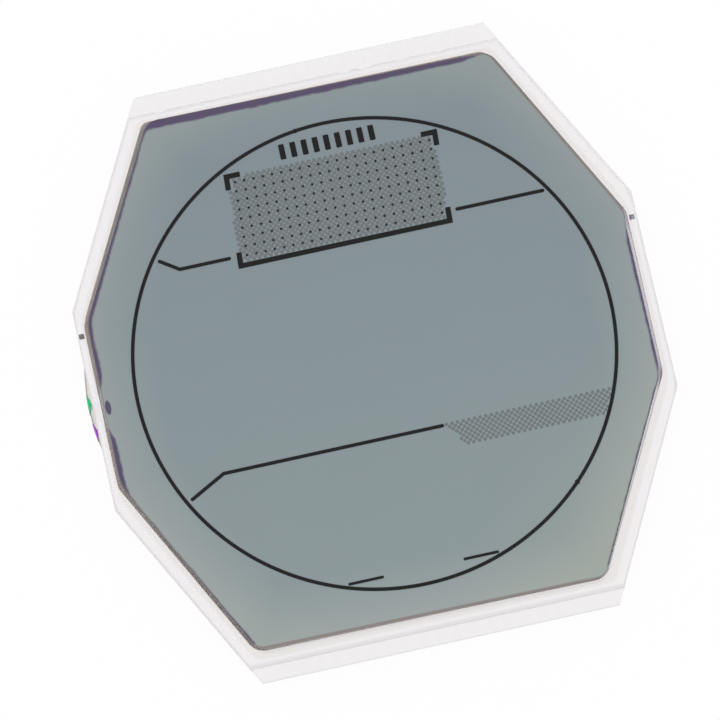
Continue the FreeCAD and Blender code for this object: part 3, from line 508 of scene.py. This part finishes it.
TINT_HIGH = levels("window_tint")[1] - HAIR
fine = staggered(*WINDOW_FIELD)
across = fine[:, 0] - PRINT_RIGHT - (fine[:, 1] - PRINT_UP - window_low) * LEAN
up = fine[:, 1] - PRINT_UP
from_side = np.minimum(across - left, right - across)
near_arm = (from_side < line + NEAR_LINE) & ((up < low + ARM + NEAR_END) | (up > high - ARM - NEAR_END))
near_top = (up > high - line - NEAR_LINE) & (from_side < ARM + NEAR_END)
inside = (from_side > NEAR_SIDE) & (up > low + line + NEAR_FOOT) & (up < high - NEAR_TOP)
fine = fine[inside & ~near_arm & ~near_top]
print(len(fine), "fine dots in the window")
window_field = dots("window_fine_dots", "window_tint", fine, FINE_DOT, INK_LOW, TINT_HIGH, "grey_ink")

dark_low, dark_high = levels("window_dots")
window_dark = dots("window_dark_dots", "window_dots", lattice(ROWS, COLUMNS), DARK_DOT, dark_low + HAIR,
                   dark_high - HAIR, "black_ink")

band_rows = staggered(*BAND_FIELD)
from_top = (BAND_TOP - band_rows[:, 1]) / FINE_ROW
start_at = BAND_START + BAND_SLANT * from_top
in_ring = np.hypot(band_rows[:, 0] - PRINT_RIGHT, band_rows[:, 1] - PRINT_UP) < RIM - RING_GAP
band_rows = band_rows[(band_rows[:, 0] > start_at) & in_ring]
print(len(band_rows), "fine dots in the band")
band_field = dots("band_fine_dots", "band_tint", band_rows, BAND_DOT, INK_LOW, TINT_HIGH, "grey_ink")

# %% [markdown]
# ## Electrodes
# Under the front plate lie the clear segments of the display, a pixel in each field of the dot lattice, and the
# contact pads on both ledges, and on the rear plate lies one common film. A digit has six four-sided strokes
# round its outside, which are mirror images of two, and a pointed one across its middle.


# %% Digits
def counterclockwise(outlines):
    """Turns round those outlines whose signed area, half the sum of x1 * y2 - x2 * y1, is negative."""
    after = np.roll(outlines, -1, 1)
    area = (outlines[..., 0] * after[..., 1] - after[..., 0] * outlines[..., 1]).sum(1)
    return np.where(area[:, None, None] < 0, outlines[:, ::-1], outlines)


def digits(middles, wide, tall, stroke):
    """Outlines of digits at places (n, 2): the four-sided strokes and the six-sided ones."""
    gap, half, left, high = 0.08, stroke / 2, -wide / 2, tall / 2
    level = [(left + stroke + gap, high - stroke), (-left - stroke - gap, high - stroke), (-left - gap, high),
             (left + gap, high)]
    upright = [(left, gap), (left + stroke, half + gap), (left + stroke, high - stroke - gap), (left, high - gap)]
    across = [(left + half, 0), (left + stroke, -half), (-left - stroke, -half), (-left - half, 0),
              (-left - stroke, half), (left + stroke, half)]
    fours = np.concatenate([np.array(level) * np.array([[[1, 1]], [[1, -1]]]),
                            np.array(upright) * np.array([[[1, 1]], [[1, -1]], [[-1, 1]], [[-1, -1]]])])
    middles = np.asarray(middles, float)[:, None, None]
    fours = (fours[None] + middles).reshape(-1, 4, 2)
    return counterclockwise(fours), (np.array(across)[None, None] + middles).reshape(-1, 6, 2)


def oblongs(middles, wide, tall):
    """Outlines of rectangles at places (n, 2)."""
    return np.asarray(middles, float)[:, None] + SQUARE * (wide / 2, tall / 2)


def electrode(name, node, *groups):
    """A clear film under the front plate from one or more groups of outlines."""
    points, faces = np.zeros((0, 3)), []
    for outlines in groups:
        more, sides = sheets(outlines, cell_high - CLEAR_DEEP, cell_high - HAIR)
        faces += [[corner + len(points) for corner in side] for side in sides]
        points = np.concatenate([points, more])
    return piece(name, points, faces, [node], "clear_electrode")


BIG_WIDE, BIG_TALL, BIG_STROKE = BIG = (3.2, 5.4, 0.6)
SMALL_WIDE, SMALL_TALL, SMALL_STROKE = SMALL = (1.8, 3.0, 0.34)
big_step, small_step = BIG_WIDE + BIG_STROKE, SMALL_WIDE + 2 * SMALL_STROKE
time_left = -(4 * big_step + 2 * small_step) / 2
upper_row = PRINT_UP + window_low - 2.16
time_row = upper_row - 4.86
hour_x = time_left + np.array([0.5, 1.5]) * big_step
minute_x = hour_x + 2 * big_step + BIG_STROKE
second_x = minute_x[1] + big_step / 2 + np.array([0.5, 1.5]) * small_step
six_x = (np.arange(6) - 2.5) * small_step


def row_at(xs, level):
    """Places with the given x at one level."""
    return np.stack([xs, np.full(len(xs), level)], 1)


colon_x = (hour_x[1] + minute_x[0]) / 2
pixel = DOT_PITCH * 0.86
DATE_DOWN, COLON_UP = 6.9, 1.08
PAD_LEVEL, PADS, PAD_SIZE = 15.55, (np.arange(19) - 9) * 0.9, (0.5, 0.7)
COMMON_MARGINS, COMMON_RADIUS = (1.08, 2.01, 1.3), 1.1
digit_rows = {
    "hour_film": ("hour_segments", hour_x, time_row, BIG),
    "minute_film": ("minute_segments", minute_x, time_row, BIG),
    "second_film": ("second_segments", second_x, time_row - (BIG_TALL - SMALL_TALL) / 2, SMALL),
    "upper_row_film": ("upper_row_segments", six_x, upper_row, SMALL),
    "date_film": ("date_segments", six_x, time_row - DATE_DOWN, SMALL),
}
electrodes = [electrode(name, node, *digits(row_at(xs, level), *size))
              for name, (node, xs, level, size) in digit_rows.items()]
electrodes += [
    electrode("colon_film", "colon_segments", oblongs(
        [(colon_x, time_row + COLON_UP), (colon_x, time_row - COLON_UP)], BIG_STROKE, BIG_STROKE)),
    electrode("pixel_film", "graph_pixels", oblongs(lattice(ROWS - 1, COLUMNS - 1, 0.5), pixel, pixel)),
    electrode("upper_pad_film", "upper_contact_pads", oblongs(row_at(PADS, PAD_LEVEL), *PAD_SIZE)),
    electrode("lower_pad_film", "lower_contact_pads", oblongs(row_at(PADS, -PAD_LEVEL), *PAD_SIZE)),
    piece("common_film", *sheets(rounded(octagon(*COMMON_MARGINS), COMMON_RADIUS), cell_low + HAIR,
                                 cell_low + CLEAR_DEEP), ["common_electrode"], "clear_electrode"),
]

# %% [markdown]
# ## Materials
# Each finish is a Principled shader whose colour, roughness or alpha comes from masks. A few small helpers keep
# the node work readable: one makes a node and links or sets its inputs, one does arithmetic.


# %% Node helpers
def feed(tree, socket, value):
    """Links a socket to another node's output, or sets its plain value."""
    if isinstance(value, bpy.types.NodeSocket):
        tree.links.new(value, socket)
    else:
        socket.default_value = value


def put(tree, kind, inputs, **settings):
    """A node of a kind with its settings, and its inputs linked or set by name or number."""
    made = tree.nodes.new("ShaderNode" + kind)
    for key, value in settings.items():
        setattr(made, key, value)
    for key, value in inputs.items():
        feed(tree, made.inputs[key], value)
    return made


def work(tree, operation, *values):
    """One step of arithmetic."""
    return put(tree, "Math", dict(enumerate(values)), operation=operation).outputs[0]


def ramp(tree, value, low, high):
    """A smooth step from 0 to 1 between two values."""
    return put(tree, "MapRange", {"Value": value, "From Min": low, "From Max": high},
               interpolation_type="SMOOTHSTEP").outputs["Result"]


def blend(tree, mask, first, second):
    """First colour where the mask is 0, second where it is 1."""
    mix = put(tree, "Mix", {0: mask, 6: first, 7: second}, data_type="RGBA")
    return mix.outputs[2]


def shade(red, green, blue):
    """A colour as it is read off a screen, 0 to 255, turned into the linear values that Blender works with."""
    share = np.array([red, green, blue]) / 255
    linear = np.where(share <= 0.04045, share / 12.92, ((share + 0.055) / 1.055) ** 2.4)
    return (*linear.tolist(), 1.0)


def finish(name, roughness=0.5, metallic=0.0, ior=1.5, **plain):
    """A new material: its tree and its Principled shader, with the plain numbers set on the shader's sockets."""
    made = bpy.data.materials.new(name)
    made.use_nodes = True
    shader = made.node_tree.nodes["Principled BSDF"]
    for key, value in {"Roughness": roughness, "Metallic": metallic, "IOR": ior, **plain}.items():
        shader.inputs[key].default_value = value
    return made, made.node_tree, shader


def dress(material, *things):
    """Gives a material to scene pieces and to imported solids."""
    for thing in things:
        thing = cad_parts[thing] if isinstance(thing, str) else thing
        thing.data.materials.clear()
        thing.data.materials.append(material)
    print("%-16s on %d pieces" % (material.name, len(things)))


def place_mm(tree):
    """The place on the screen in millimetres, as its three parts."""
    place = put(tree, "VectorMath", {0: put(tree, "TexCoord", {}).outputs["Object"], "Scale": 1 / MM},
                operation="SCALE").outputs[0]
    return put(tree, "SeparateXYZ", {0: place}).outputs


# %% [markdown]
# ### How far inside an outline
# Many looks here depend on where a film or the seal ends: over the rear film the seal is grey, and under the front
# film too it is dark purple. So one node group measures the distance to an outline of the octagon's kind, in
# millimetres and positive inside. It shifts and turns the place into the outline's own frame, folds it into one
# quarter, and takes the least of the distances to the flank, the end and the slanted side. A smooth minimum
# rounds the corners.

# %% Node group: distance inside an outline
inside_outline = bpy.data.node_groups.new("inside_outline", "ShaderNodeTree")
for name in ("Right", "Up", "Turn", "Flank", "End", "Slant"):
    inside_outline.interface.new_socket(name, in_out="INPUT", socket_type="NodeSocketFloat")
inside_outline.interface.new_socket("Depth", in_out="OUTPUT", socket_type="NodeSocketFloat")
tree = inside_outline
asked, given = tree.nodes.new("NodeGroupInput"), tree.nodes.new("NodeGroupOutput")
place = put(tree, "VectorMath", {0: put(tree, "TexCoord", {}).outputs["Object"], "Scale": 1 / MM},
            operation="SCALE").outputs[0]
offset = put(tree, "CombineXYZ", {"X": asked.outputs["Right"], "Y": asked.outputs["Up"]}).outputs[0]
place = put(tree, "VectorMath", {0: place, 1: offset}, operation="SUBTRACT").outputs[0]
back = work(tree, "MULTIPLY", asked.outputs["Turn"], -1.0)
place = put(tree, "VectorRotate", {"Vector": place, "Angle": back}, rotation_type="Z_AXIS").outputs[0]
parts = put(tree, "SeparateXYZ", {0: put(tree, "VectorMath", {0: place}, operation="ABSOLUTE").outputs[0]}).outputs
to_flank = work(tree, "SUBTRACT", work(tree, "SUBTRACT", HALF_WIDE, asked.outputs["Flank"]), parts[0])
to_end = work(tree, "SUBTRACT", work(tree, "SUBTRACT", HALF_TALL, asked.outputs["End"]), parts[1])
aslant = work(tree, "MULTIPLY_ADD", parts[0], DROP / SLANT, work(tree, "MULTIPLY", parts[1], RUN / SLANT))
slant_reach = (HALF_END * DROP + HALF_TALL * RUN) / SLANT
to_slant = work(tree, "SUBTRACT", work(tree, "SUBTRACT", slant_reach, asked.outputs["Slant"]), aslant)
straight = work(tree, "SMOOTH_MIN", to_flank, to_end, 0.1)
feed(tree, given.inputs["Depth"], work(tree, "SMOOTH_MIN", straight, to_slant, 0.46))


def film_depth(tree, shift, margins=FILM_MARGINS):
    """Distance inside an outline with these margins, shifted and turned by (right, up, degrees)."""
    group = tree.nodes.new("ShaderNodeGroup")
    group.node_tree = inside_outline
    values = (shift[0], shift[1], math.radians(shift[2]), *margins)
    for key, value in zip(("Right", "Up", "Turn", "Flank", "End", "Slant"), values):
        group.inputs[key].default_value = value
    return group.outputs["Depth"]


# %% [markdown]
# ### Fine unevenness
# Nothing on the screen is quite even: ink is a little cloudy, foil has grain, glass carries faint smears. One
# group mixes a broad and a fine noise, both in millimetres, and puts out a value around a half.

# %% Node group: cloudiness
cloudy = bpy.data.node_groups.new("cloudy", "ShaderNodeTree")
cloudy.interface.new_socket("Broad", in_out="INPUT", socket_type="NodeSocketFloat").default_value = 0.5
cloudy.interface.new_socket("Fine", in_out="INPUT", socket_type="NodeSocketFloat").default_value = 8.0
cloudy.interface.new_socket("Cloud", in_out="OUTPUT", socket_type="NodeSocketFloat")
asked = cloudy.nodes.new("NodeGroupInput")
given = cloudy.nodes.new("NodeGroupOutput")
place = put(cloudy, "TexCoord", {}).outputs["Object"]
place = put(cloudy, "VectorMath", {0: place, "Scale": 1 / MM}, operation="SCALE").outputs[0]
broad = put(cloudy, "TexNoise", {"Vector": place, "Scale": asked.outputs["Broad"], "Detail": 2.0}).outputs[0]
small = put(cloudy, "TexNoise", {"Vector": place, "Scale": asked.outputs["Fine"], "Detail": 1.0}).outputs[0]
cloudy.links.new(put(cloudy, "Mix", {0: 0.4, 2: broad, 3: small}).outputs[0], given.inputs["Cloud"])


def cloud(tree, broad, fine):
    """The cloudiness group with two noise sizes, in waves per millimetre."""
    group = tree.nodes.new("ShaderNodeGroup")
    group.node_tree = cloudy
    group.inputs["Broad"].default_value = broad
    group.inputs["Fine"].default_value = fine
    return group.outputs["Cloud"]


# %% [markdown]
# ### Glass
# Both plates stay the imported solids and get real refracting glass. Their large faces are polished, and their
# broken edges are a little frosted: the mask for that is how far a face looks sideways. Most light passes an edge
# unbent, so that from above it is only a faint line. Close to the outline the glass is painted a shade darker, a
# painted shade for the dimming that a glass edge gives, and on the ledges it is a shade darker too.

# %% Material: glass
def faces_sideways(tree):
    """1 on walls and 0 on level faces, from the upward part of the face's own direction."""
    upward = put(tree, "SeparateXYZ", {0: put(tree, "TexCoord", {}).outputs["Normal"]}).outputs["Z"]
    return work(tree, "LESS_THAN", work(tree, "ABSOLUTE", upward), 0.5)


glass, tree, shader = finish("plate_glass", ior=1.52, **{"Transmission Weight": 1.0})
# painted shade: the glass a shade darker within 0.13 mm of its outline, for the dimming a glass edge gives
edge_shade = ramp(tree, film_depth(tree, (0, 0, 0), (0, 0, 0)), 0.13, 0.02)
on_ledge = work(tree, "GREATER_THAN", work(tree, "ABSOLUTE", place_mm(tree)["Y"]), 14.95)
body = blend(tree, on_ledge, shade(249, 248, 249), shade(243, 241, 242))
feed(tree, shader.inputs["Base Color"], blend(tree, edge_shade, body, shade(241, 239, 240)))
sideways = faces_sideways(tree)
frost = work(tree, "MULTIPLY", sideways, work(tree, "MULTIPLY_ADD", cloud(tree, 1.5, 12.0), 0.5, 0.1))
feed(tree, shader.inputs["Roughness"], frost)
feed(tree, shader.inputs["Alpha"], work(tree, "MULTIPLY_ADD", sideways, -0.8, 1.0))
dress(glass, "front_glass", "rear_glass")

# %% [markdown]
# ### The display's tone
# What shows as the grey field is light that passes the front film, the cell and the rear film, and comes back
# from the foil. One node group paints that tone: blue-grey, a little lighter towards six o'clock, lighter and
# greener along the edge, and greenest in the corners and at the lower right.

# %% Node group: display tone
display_tone = bpy.data.node_groups.new("display_tone", "ShaderNodeTree")
display_tone.interface.new_socket("Tone", in_out="OUTPUT", socket_type="NodeSocketColor")
tree = display_tone
given = tree.nodes.new("NodeGroupOutput")
parts = place_mm(tree)
height = put(tree, "MapRange", {"Value": parts[1], "From Min": -13.0, "From Max": 13.0}).outputs["Result"]
tone = blend(tree, height, shade(141, 154, 156), shade(130, 143, 149))
depth = film_depth(tree, FRONT_SHIFT)
rim = put(tree, "MapRange", {"Value": depth, "From Min": 3.0, "From Max": 0.0}).outputs["Result"]
rim = work(tree, "MULTIPLY", rim, work(tree, "MULTIPLY_ADD", height, -0.45, 0.75))
tone = blend(tree, rim, tone, shade(163, 170, 169))
far_out = put(tree, "VectorMath", {0: put(tree, "CombineXYZ", {"X": parts[0], "Y": parts[1]}).outputs[0]},
              operation="LENGTH").outputs["Value"]
aslant = work(tree, "MULTIPLY", work(tree, "SUBTRACT", parts[0], parts[1]), 0.707)
green = work(tree, "ADD", work(tree, "MULTIPLY", ramp(tree, far_out, 13.6, 16.4), 0.2),
             work(tree, "MULTIPLY", ramp(tree, aslant, 9.0, 15.5), 0.25))
tone = blend(tree, green, tone, shade(170, 177, 164))
feed(tree, given.inputs["Tone"], tone)


def toned(tree, gain):
    """The display's tone, mottled by a hundredth and made lighter or darker by a gain."""
    group = tree.nodes.new("ShaderNodeGroup")
    group.node_tree = display_tone
    scale = work(tree, "MULTIPLY_ADD", cloud(tree, 0.35, 3.0), 0.04 * gain, 0.98 * gain)
    return put(tree, "VectorMath", {0: group.outputs["Tone"], "Scale": scale}, operation="SCALE").outputs[0]


# %% [markdown]
# The fluid carries the tone under the film's border, painted lighter by a gain of 2.1: painted light that makes up
# for the shade it lies in under the glass and the film. In the port, outside the front film, it is painted nearly
# white, lighter than it looks, for the same shade.

# %% Material: fluid
fluid_look, tree, shader = finish("fluid_look", roughness=0.6, **{"Specular IOR Level": 0.0})
under = ramp(tree, film_depth(tree, FRONT_SHIFT), -0.02, 0.02)
# painted light: the tone raised by 2.1 and the port nearly white, to make up for the shade under glass and film
feed(tree, shader.inputs["Base Color"], blend(tree, under, shade(254, 249, 242), toned(tree, 2.1)))
dress(fluid_look, fluid)

# %% [markdown]
# ### Seal
# A skin of cream epoxy a hundredth of a millimetre deep, so nearly all light goes through it, and it fades out at
# its outer side. Over the rear film it has no bright ground and looks grey.

# %% Material: seal
epoxy, tree, shader = finish("seal_epoxy_line", roughness=0.5, **{"Specular IOR Level": 0.0})
over_rear = ramp(tree, film_depth(tree, REAR_SHIFT), -0.03, 0.03)
grey = blend(tree, ramp(tree, place_mm(tree)["X"], -12.5, -13.8), shade(188, 184, 180), shade(214, 204, 202))
tint = blend(tree, over_rear, shade(255, 214, 130), grey)
patches = work(tree, "MULTIPLY_ADD", cloud(tree, 0.8, 6.0), 0.06, 0.97)
feed(tree, shader.inputs["Base Color"], put(tree, "VectorMath", {0: tint, "Scale": patches},
                                            operation="SCALE").outputs[0])
skin = work(tree, "MULTIPLY", ramp(tree, film_depth(tree, (0, 0, 0), SEAL_OUTER), 0.0, 0.2), 0.06)
feed(tree, shader.inputs["Alpha"], work(tree, "ADD", skin, work(tree, "MULTIPLY", over_rear, 0.94)))
dress(epoxy, seal, pillar)

# %% [markdown]
# ### Films
# Over the fluid the front film carries the tone that it gives the cell below. Over the seal and the island it is
# dark purple where the rear film lies below, and elsewhere a clear violet that turns the seal's cream to a pale
# mauve. Its cut edge, and a strip of its top next to the edge, are painted brown: partly the edge's own colour and
# partly painted shade, the dark line that the film's edge shows. The mask is the seal's own shape: the octagon,
# the two arcs of the port and the island's ellipse, each a little lower, as they are seen through the glass. The
# purple line in the photo isn't even: a little noise moves it, on the upper right slant it runs under the film's
# edge, and on the lower right it is wider and pale.

# %% Mask: where the film lies over fluid
SEEN_RIGHT, SEEN_UP, ISLAND_UP = -0.015, -0.14, -0.1
SEAL_INNER = tuple(margin + SEAL_WIDE for margin in SEAL_OUTER)
RIGHT_FROM, UPPER_FROM, LOWER_FROM, END_FROM = (7.5, 9.5), (2.5, 4.5), (-4.6, -5.6), (-13.9, -14.15)


def sides(tree, parts):
    """Masks of the upper right slant, the lower right slant and the lower end."""
    right = ramp(tree, parts["X"], *RIGHT_FROM)
    return (work(tree, "MULTIPLY", right, ramp(tree, parts["Y"], *UPPER_FROM)),
            work(tree, "MULTIPLY", right, ramp(tree, parts["Y"], *LOWER_FROM)),
            ramp(tree, parts["Y"], *END_FROM))


def over_fluid(tree):
    """1 over the fluid and 0 over the seal or the island.

    In the port the seal ends on two circles, so the distance is that to a circle's middle less its radius, with
    the heights above and below the port folded together. The island is an ellipse.
    """
    parts = place_mm(tree)
    fold = work(tree, "ABSOLUTE", work(tree, "SUBTRACT", parts[1], PORT_UP + SEEN_UP))
    out = work(tree, "SUBTRACT", parts[0], -seal_side - FLARE + SEEN_RIGHT)
    off = put(tree, "CombineXYZ", {"X": out, "Y": work(tree, "SUBTRACT", fold, flare_half)}).outputs[0]
    arcs = work(tree, "SUBTRACT", put(tree, "VectorMath", {0: off}, operation="LENGTH").outputs["Value"], FLARE)
    beside = work(tree, "MAXIMUM", work(tree, "GREATER_THAN", fold, flare_half),
                  work(tree, "GREATER_THAN", parts[0], -13.0))
    arcs = work(tree, "MULTIPLY_ADD", beside, -99.0, arcs)
    depth = work(tree, "MAXIMUM", film_depth(tree, (SEEN_RIGHT, SEEN_UP, 0), SEAL_INNER), arcs)
    for mask, more in zip(sides(tree, parts), (0.24, -0.1, 0.16)):
        depth = work(tree, "MULTIPLY_ADD", mask, more, depth)
    depth = work(tree, "MULTIPLY_ADD", cloud(tree, 0.7, 3.0), 0.2, work(tree, "SUBTRACT", depth, 0.1))
    aside = work(tree, "DIVIDE", work(tree, "ADD", parts[0], HALF_WIDE - PILLAR_IN - SEEN_RIGHT), PILLAR_WIDE / 2)
    along = work(tree, "DIVIDE", work(tree, "SUBTRACT", parts[1], ISLAND_UP), PILLAR_LONG / 2)
    from_island = put(tree, "VectorMath", {0: put(tree, "CombineXYZ", {"X": aside, "Y": along}).outputs[0]},
                      operation="LENGTH").outputs["Value"]
    return work(tree, "MULTIPLY", ramp(tree, depth, -0.06, 0.1), ramp(tree, from_island, 0.72, 1.06))


# %% Materials: films and foil
filter_film, tree, shader = finish("front_filter", roughness=0.2, ior=1.49, **{"Specular IOR Level": 0.3})
fluid_below, sideways = over_fluid(tree), faces_sideways(tree)
parts = place_mm(tree)
upper, lower, low_end = sides(tree, parts)
pale = work(tree, "MAXIMUM", lower, ramp(tree, parts["X"], 14.2, 14.42))
rear_below = ramp(tree, film_depth(tree, (REAR_SHIFT[0] + SEEN_RIGHT, REAR_SHIFT[1] + SEEN_UP, REAR_SHIFT[2])),
                  -0.03, 0.03)
# edge: painted brown at the film's cut edge and in a strip of its top, partly the edge's colour and partly painted
# shade
from_edge = work(tree, "MULTIPLY_ADD", work(tree, "MAXIMUM", low_end, upper), -0.12, film_depth(tree, FRONT_SHIFT))
edge = work(tree, "MULTIPLY", ramp(tree, from_edge, 0.07, 0.0), work(tree, "MULTIPLY_ADD", pale, -0.6, 0.85))
edge = work(tree, "MAXIMUM", edge, work(tree, "MULTIPLY", sideways, 0.9))
seal_look = blend(tree, rear_below, shade(80, 61, 114), shade(84, 74, 101))
look = blend(tree, fluid_below, seal_look, toned(tree, 0.945))
feed(tree, shader.inputs["Base Color"], blend(tree, edge, look, shade(132, 121, 118)))
solid = work(tree, "MAXIMUM", work(tree, "MAXIMUM", fluid_below, rear_below), edge)
violet = work(tree, "MULTIPLY_ADD", pale, -0.25, 0.35)
feed(tree, shader.inputs["Alpha"], work(tree, "MULTIPLY_ADD", solid, work(tree, "SUBTRACT", 1.0, violet), violet))
dress(filter_film, front_film)

# The rear film is painted a light grey: painted light, as it lies in the shade of the painted front film and the grey
# stands in for the light that a clear film lets into the cell.
backing_film, tree, shader = finish("rear_filter", roughness=0.3, ior=1.49)
feed(tree, shader.inputs["Base Color"], blend(tree, cloud(tree, 0.4, 5.0), shade(170, 176, 178), shade(186, 192, 194)))
dress(backing_film, rear_film)

foil_finish, tree, shader = finish("foil", metallic=1.0)
grain = cloud(tree, 2.0, 25.0)
feed(tree, shader.inputs["Base Color"], blend(tree, grain, shade(196, 197, 195), shade(222, 222, 219)))
feed(tree, shader.inputs["Roughness"], work(tree, "MULTIPLY_ADD", grain, 0.25, 0.25))
dress(foil_finish, foil)

# %% [markdown]
# ### Electrodes
# The conductive films are so thin and clear that the photo doesn't show them. They keep a trace of warm tint.

# %% Material: clear electrode
clear, tree, shader = finish("clear_electrode", roughness=0.15)
feed(tree, shader.inputs["Base Color"], blend(tree, cloud(tree, 1.0, 9.0), shade(200, 205, 190), shade(225, 226, 214)))
shader.inputs["Alpha"].default_value = 0.006
dress(clear, *electrodes)

# %% [markdown]
# ### Inks and resin
# The print is matt, nearly black and a little cloudy. The marks are etched film in two tones. The resin is a pale
# coat with a painted brown shade round its waist, where it faces sideways, for the dark rim that a clear bead shows
# at its outline; it is nearly clear in the port, and the two spots on it are bright.


# %% Materials: inks and resin
def ink(name, dark, light, roughness=0.6, sheen=0.15):
    """A matt ink between two shades of one colour."""
    made, tree, shader = finish(name, roughness=roughness, **{"Specular IOR Level": sheen})
    feed(tree, shader.inputs["Base Color"], blend(tree, cloud(tree, 1.2, 14.0), dark, light))
    return made


prints = [ring, window_dark] + [bpy.data.objects[name] for name in (
    "window_foot", "window_left_angle", "window_right_angle", "plain_bars", *rules)]
dress(ink("black", shade(24, 23, 23), shade(33, 32, 32)), *prints)
dress(ink("grey", shade(107, 113, 114), shade(118, 124, 125)), window_field, band_field)
etched, tree, shader = finish("etched_mark", roughness=0.6, **{"Specular IOR Level": 0.15})
outward = ramp(tree, work(tree, "ABSOLUTE", place_mm(tree)["X"]), MARK_SPLIT - 0.03, MARK_SPLIT + 0.03)
on_right = work(tree, "GREATER_THAN", place_mm(tree)["X"], 0.0)
left_look = blend(tree, outward, shade(122, 98, 84), shade(122, 116, 114))
right_look = blend(tree, outward, shade(160, 136, 128), shade(178, 190, 208))
feed(tree, shader.inputs["Base Color"], blend(tree, on_right, left_look, right_look))
dress(etched, *marks.values())
dress(ink("green", shade(14, 158, 100), shade(32, 196, 130), 0.4, 0.3), green_spot)
dress(ink("purple", shade(140, 44, 176), shade(172, 78, 205), 0.4, 0.3), purple_spot)

resin, tree, shader = finish("clear_bead", roughness=0.12, ior=1.5)
facing = put(tree, "SeparateXYZ", {0: put(tree, "TexCoord", {}).outputs["Normal"]}).outputs
# waist: painted shade, brown and denser where the bead faces sideways, for the dark rim a clear bead shows from above
waist = work(tree, "MULTIPLY", ramp(tree, work(tree, "ABSOLUTE", facing["Z"]), 0.7, 0.42),
             work(tree, "LESS_THAN", facing["X"], 0.0))
body = blend(tree, cloud(tree, 1.0, 7.0), shade(230, 227, 223), shade(240, 238, 236))
feed(tree, shader.inputs["Base Color"], blend(tree, waist, body, shade(136, 122, 114)))
outside = work(tree, "LESS_THAN", place_mm(tree)["X"], -HALF_WIDE)
coat = work(tree, "MULTIPLY_ADD", waist, 0.4, 0.5)
feed(tree, shader.inputs["Alpha"], work(tree, "MULTIPLY_ADD", outside, work(tree, "SUBTRACT", coat, 0.04), 0.04))
dress(resin, bead)

# %% [markdown]
# ## Stage, light and camera
# The screen lies on a plain pale floor. Camera, mirror and glass rays see the floor as white, and a small plain
# share keeps the shadow. A pale sky does most of the lighting, and two broad soft lamps give it a direction.

# %% Floor
bpy.ops.mesh.primitive_plane_add(size=4, location=(0, 0, -0.00001))
floor = bpy.context.object
floor.name = "floor"
floor_look = bpy.data.materials.new("floor")
floor_look.use_nodes = True
tree = floor_look.node_tree
tree.nodes.clear()
seen = put(tree, "LightPath", {})
seen = work(tree, "MAXIMUM", work(tree, "MAXIMUM", seen.outputs["Is Camera Ray"], seen.outputs["Is Glossy Ray"]),
            seen.outputs["Is Transmission Ray"])
plain = put(tree, "BsdfDiffuse", {"Color": shade(248, 248, 248)}).outputs[0]
white = put(tree, "Emission", {"Color": (1, 1, 1, 1), "Strength": 1.0}).outputs[0]
mixed = put(tree, "MixShader", {0: work(tree, "MULTIPLY", seen, 0.95), 1: plain, 2: white}).outputs[0]
put(tree, "OutputMaterial", {"Surface": mixed})
floor.data.materials.append(floor_look)

# %% Sky and lamps
SKY = 0.9
sky = bpy.data.worlds.new("sky")
bpy.context.scene.world = sky
sky.use_nodes = True
tree = sky.node_tree
tree.nodes.clear()
by_camera = put(tree, "LightPath", {}).outputs["Is Camera Ray"]
strength = put(tree, "MapRange", {"Value": by_camera, "To Min": SKY, "To Max": 1.0}).outputs["Result"]
back = put(tree, "Background", {"Color": (1, 1, 1, 1), "Strength": strength}).outputs[0]
put(tree, "OutputWorld", {"Surface": back})


def lamp(name, place, size, power):
    """A square soft lamp that faces the screen."""
    light = bpy.data.lights.new(name, "AREA")
    light.size, light.energy = size, power
    thing = bpy.data.objects.new(name, light)
    thing.location = place
    thing.rotation_euler = (-Vector(place)).to_track_quat("-Z", "Y").to_euler()
    bpy.context.scene.collection.objects.link(thing)


lamp("key", (-0.35, 0.25, 0.6), 0.5, 0.6)
lamp("fill", (0.5, -0.3, 0.5), 0.6, 0.3)

# %% [markdown]
# The camera stands where the photo's did: almost above the screen and a little towards six o'clock. The lens is
# long, so the octagon keeps its angles.

# %% Camera
camera_data = bpy.data.cameras.new("camera")
camera_data.sensor_width, camera_data.lens = 36.0, 310.4
camera_data.clip_start, camera_data.clip_end = 0.01, 10.0
camera = bpy.data.objects.new("camera", camera_data)
bpy.context.scene.collection.objects.link(camera)
bpy.context.scene.camera = camera
stand = Vector((-13.352, -71.847, 316.903)) * MM
aim = Vector((-0.862, -0.4435, 1.25)) * MM
toward = (stand - aim).normalized()
azimuth, roll = math.radians(-9.922), math.radians(-2.645)
level_x = Vector((math.cos(azimuth), math.sin(azimuth), 0))
level_y = toward.cross(level_x)
right_way = level_x * math.cos(roll) + level_y * math.sin(roll)
up_way = toward.cross(right_way)
camera.matrix_world = Matrix((
    (right_way.x, up_way.x, toward.x, stand.x), (right_way.y, up_way.y, toward.y, stand.y),
    (right_way.z, up_way.z, toward.z, stand.z), (0, 0, 0, 1)))
bpy.context.scene.view_settings.view_transform = "Standard"
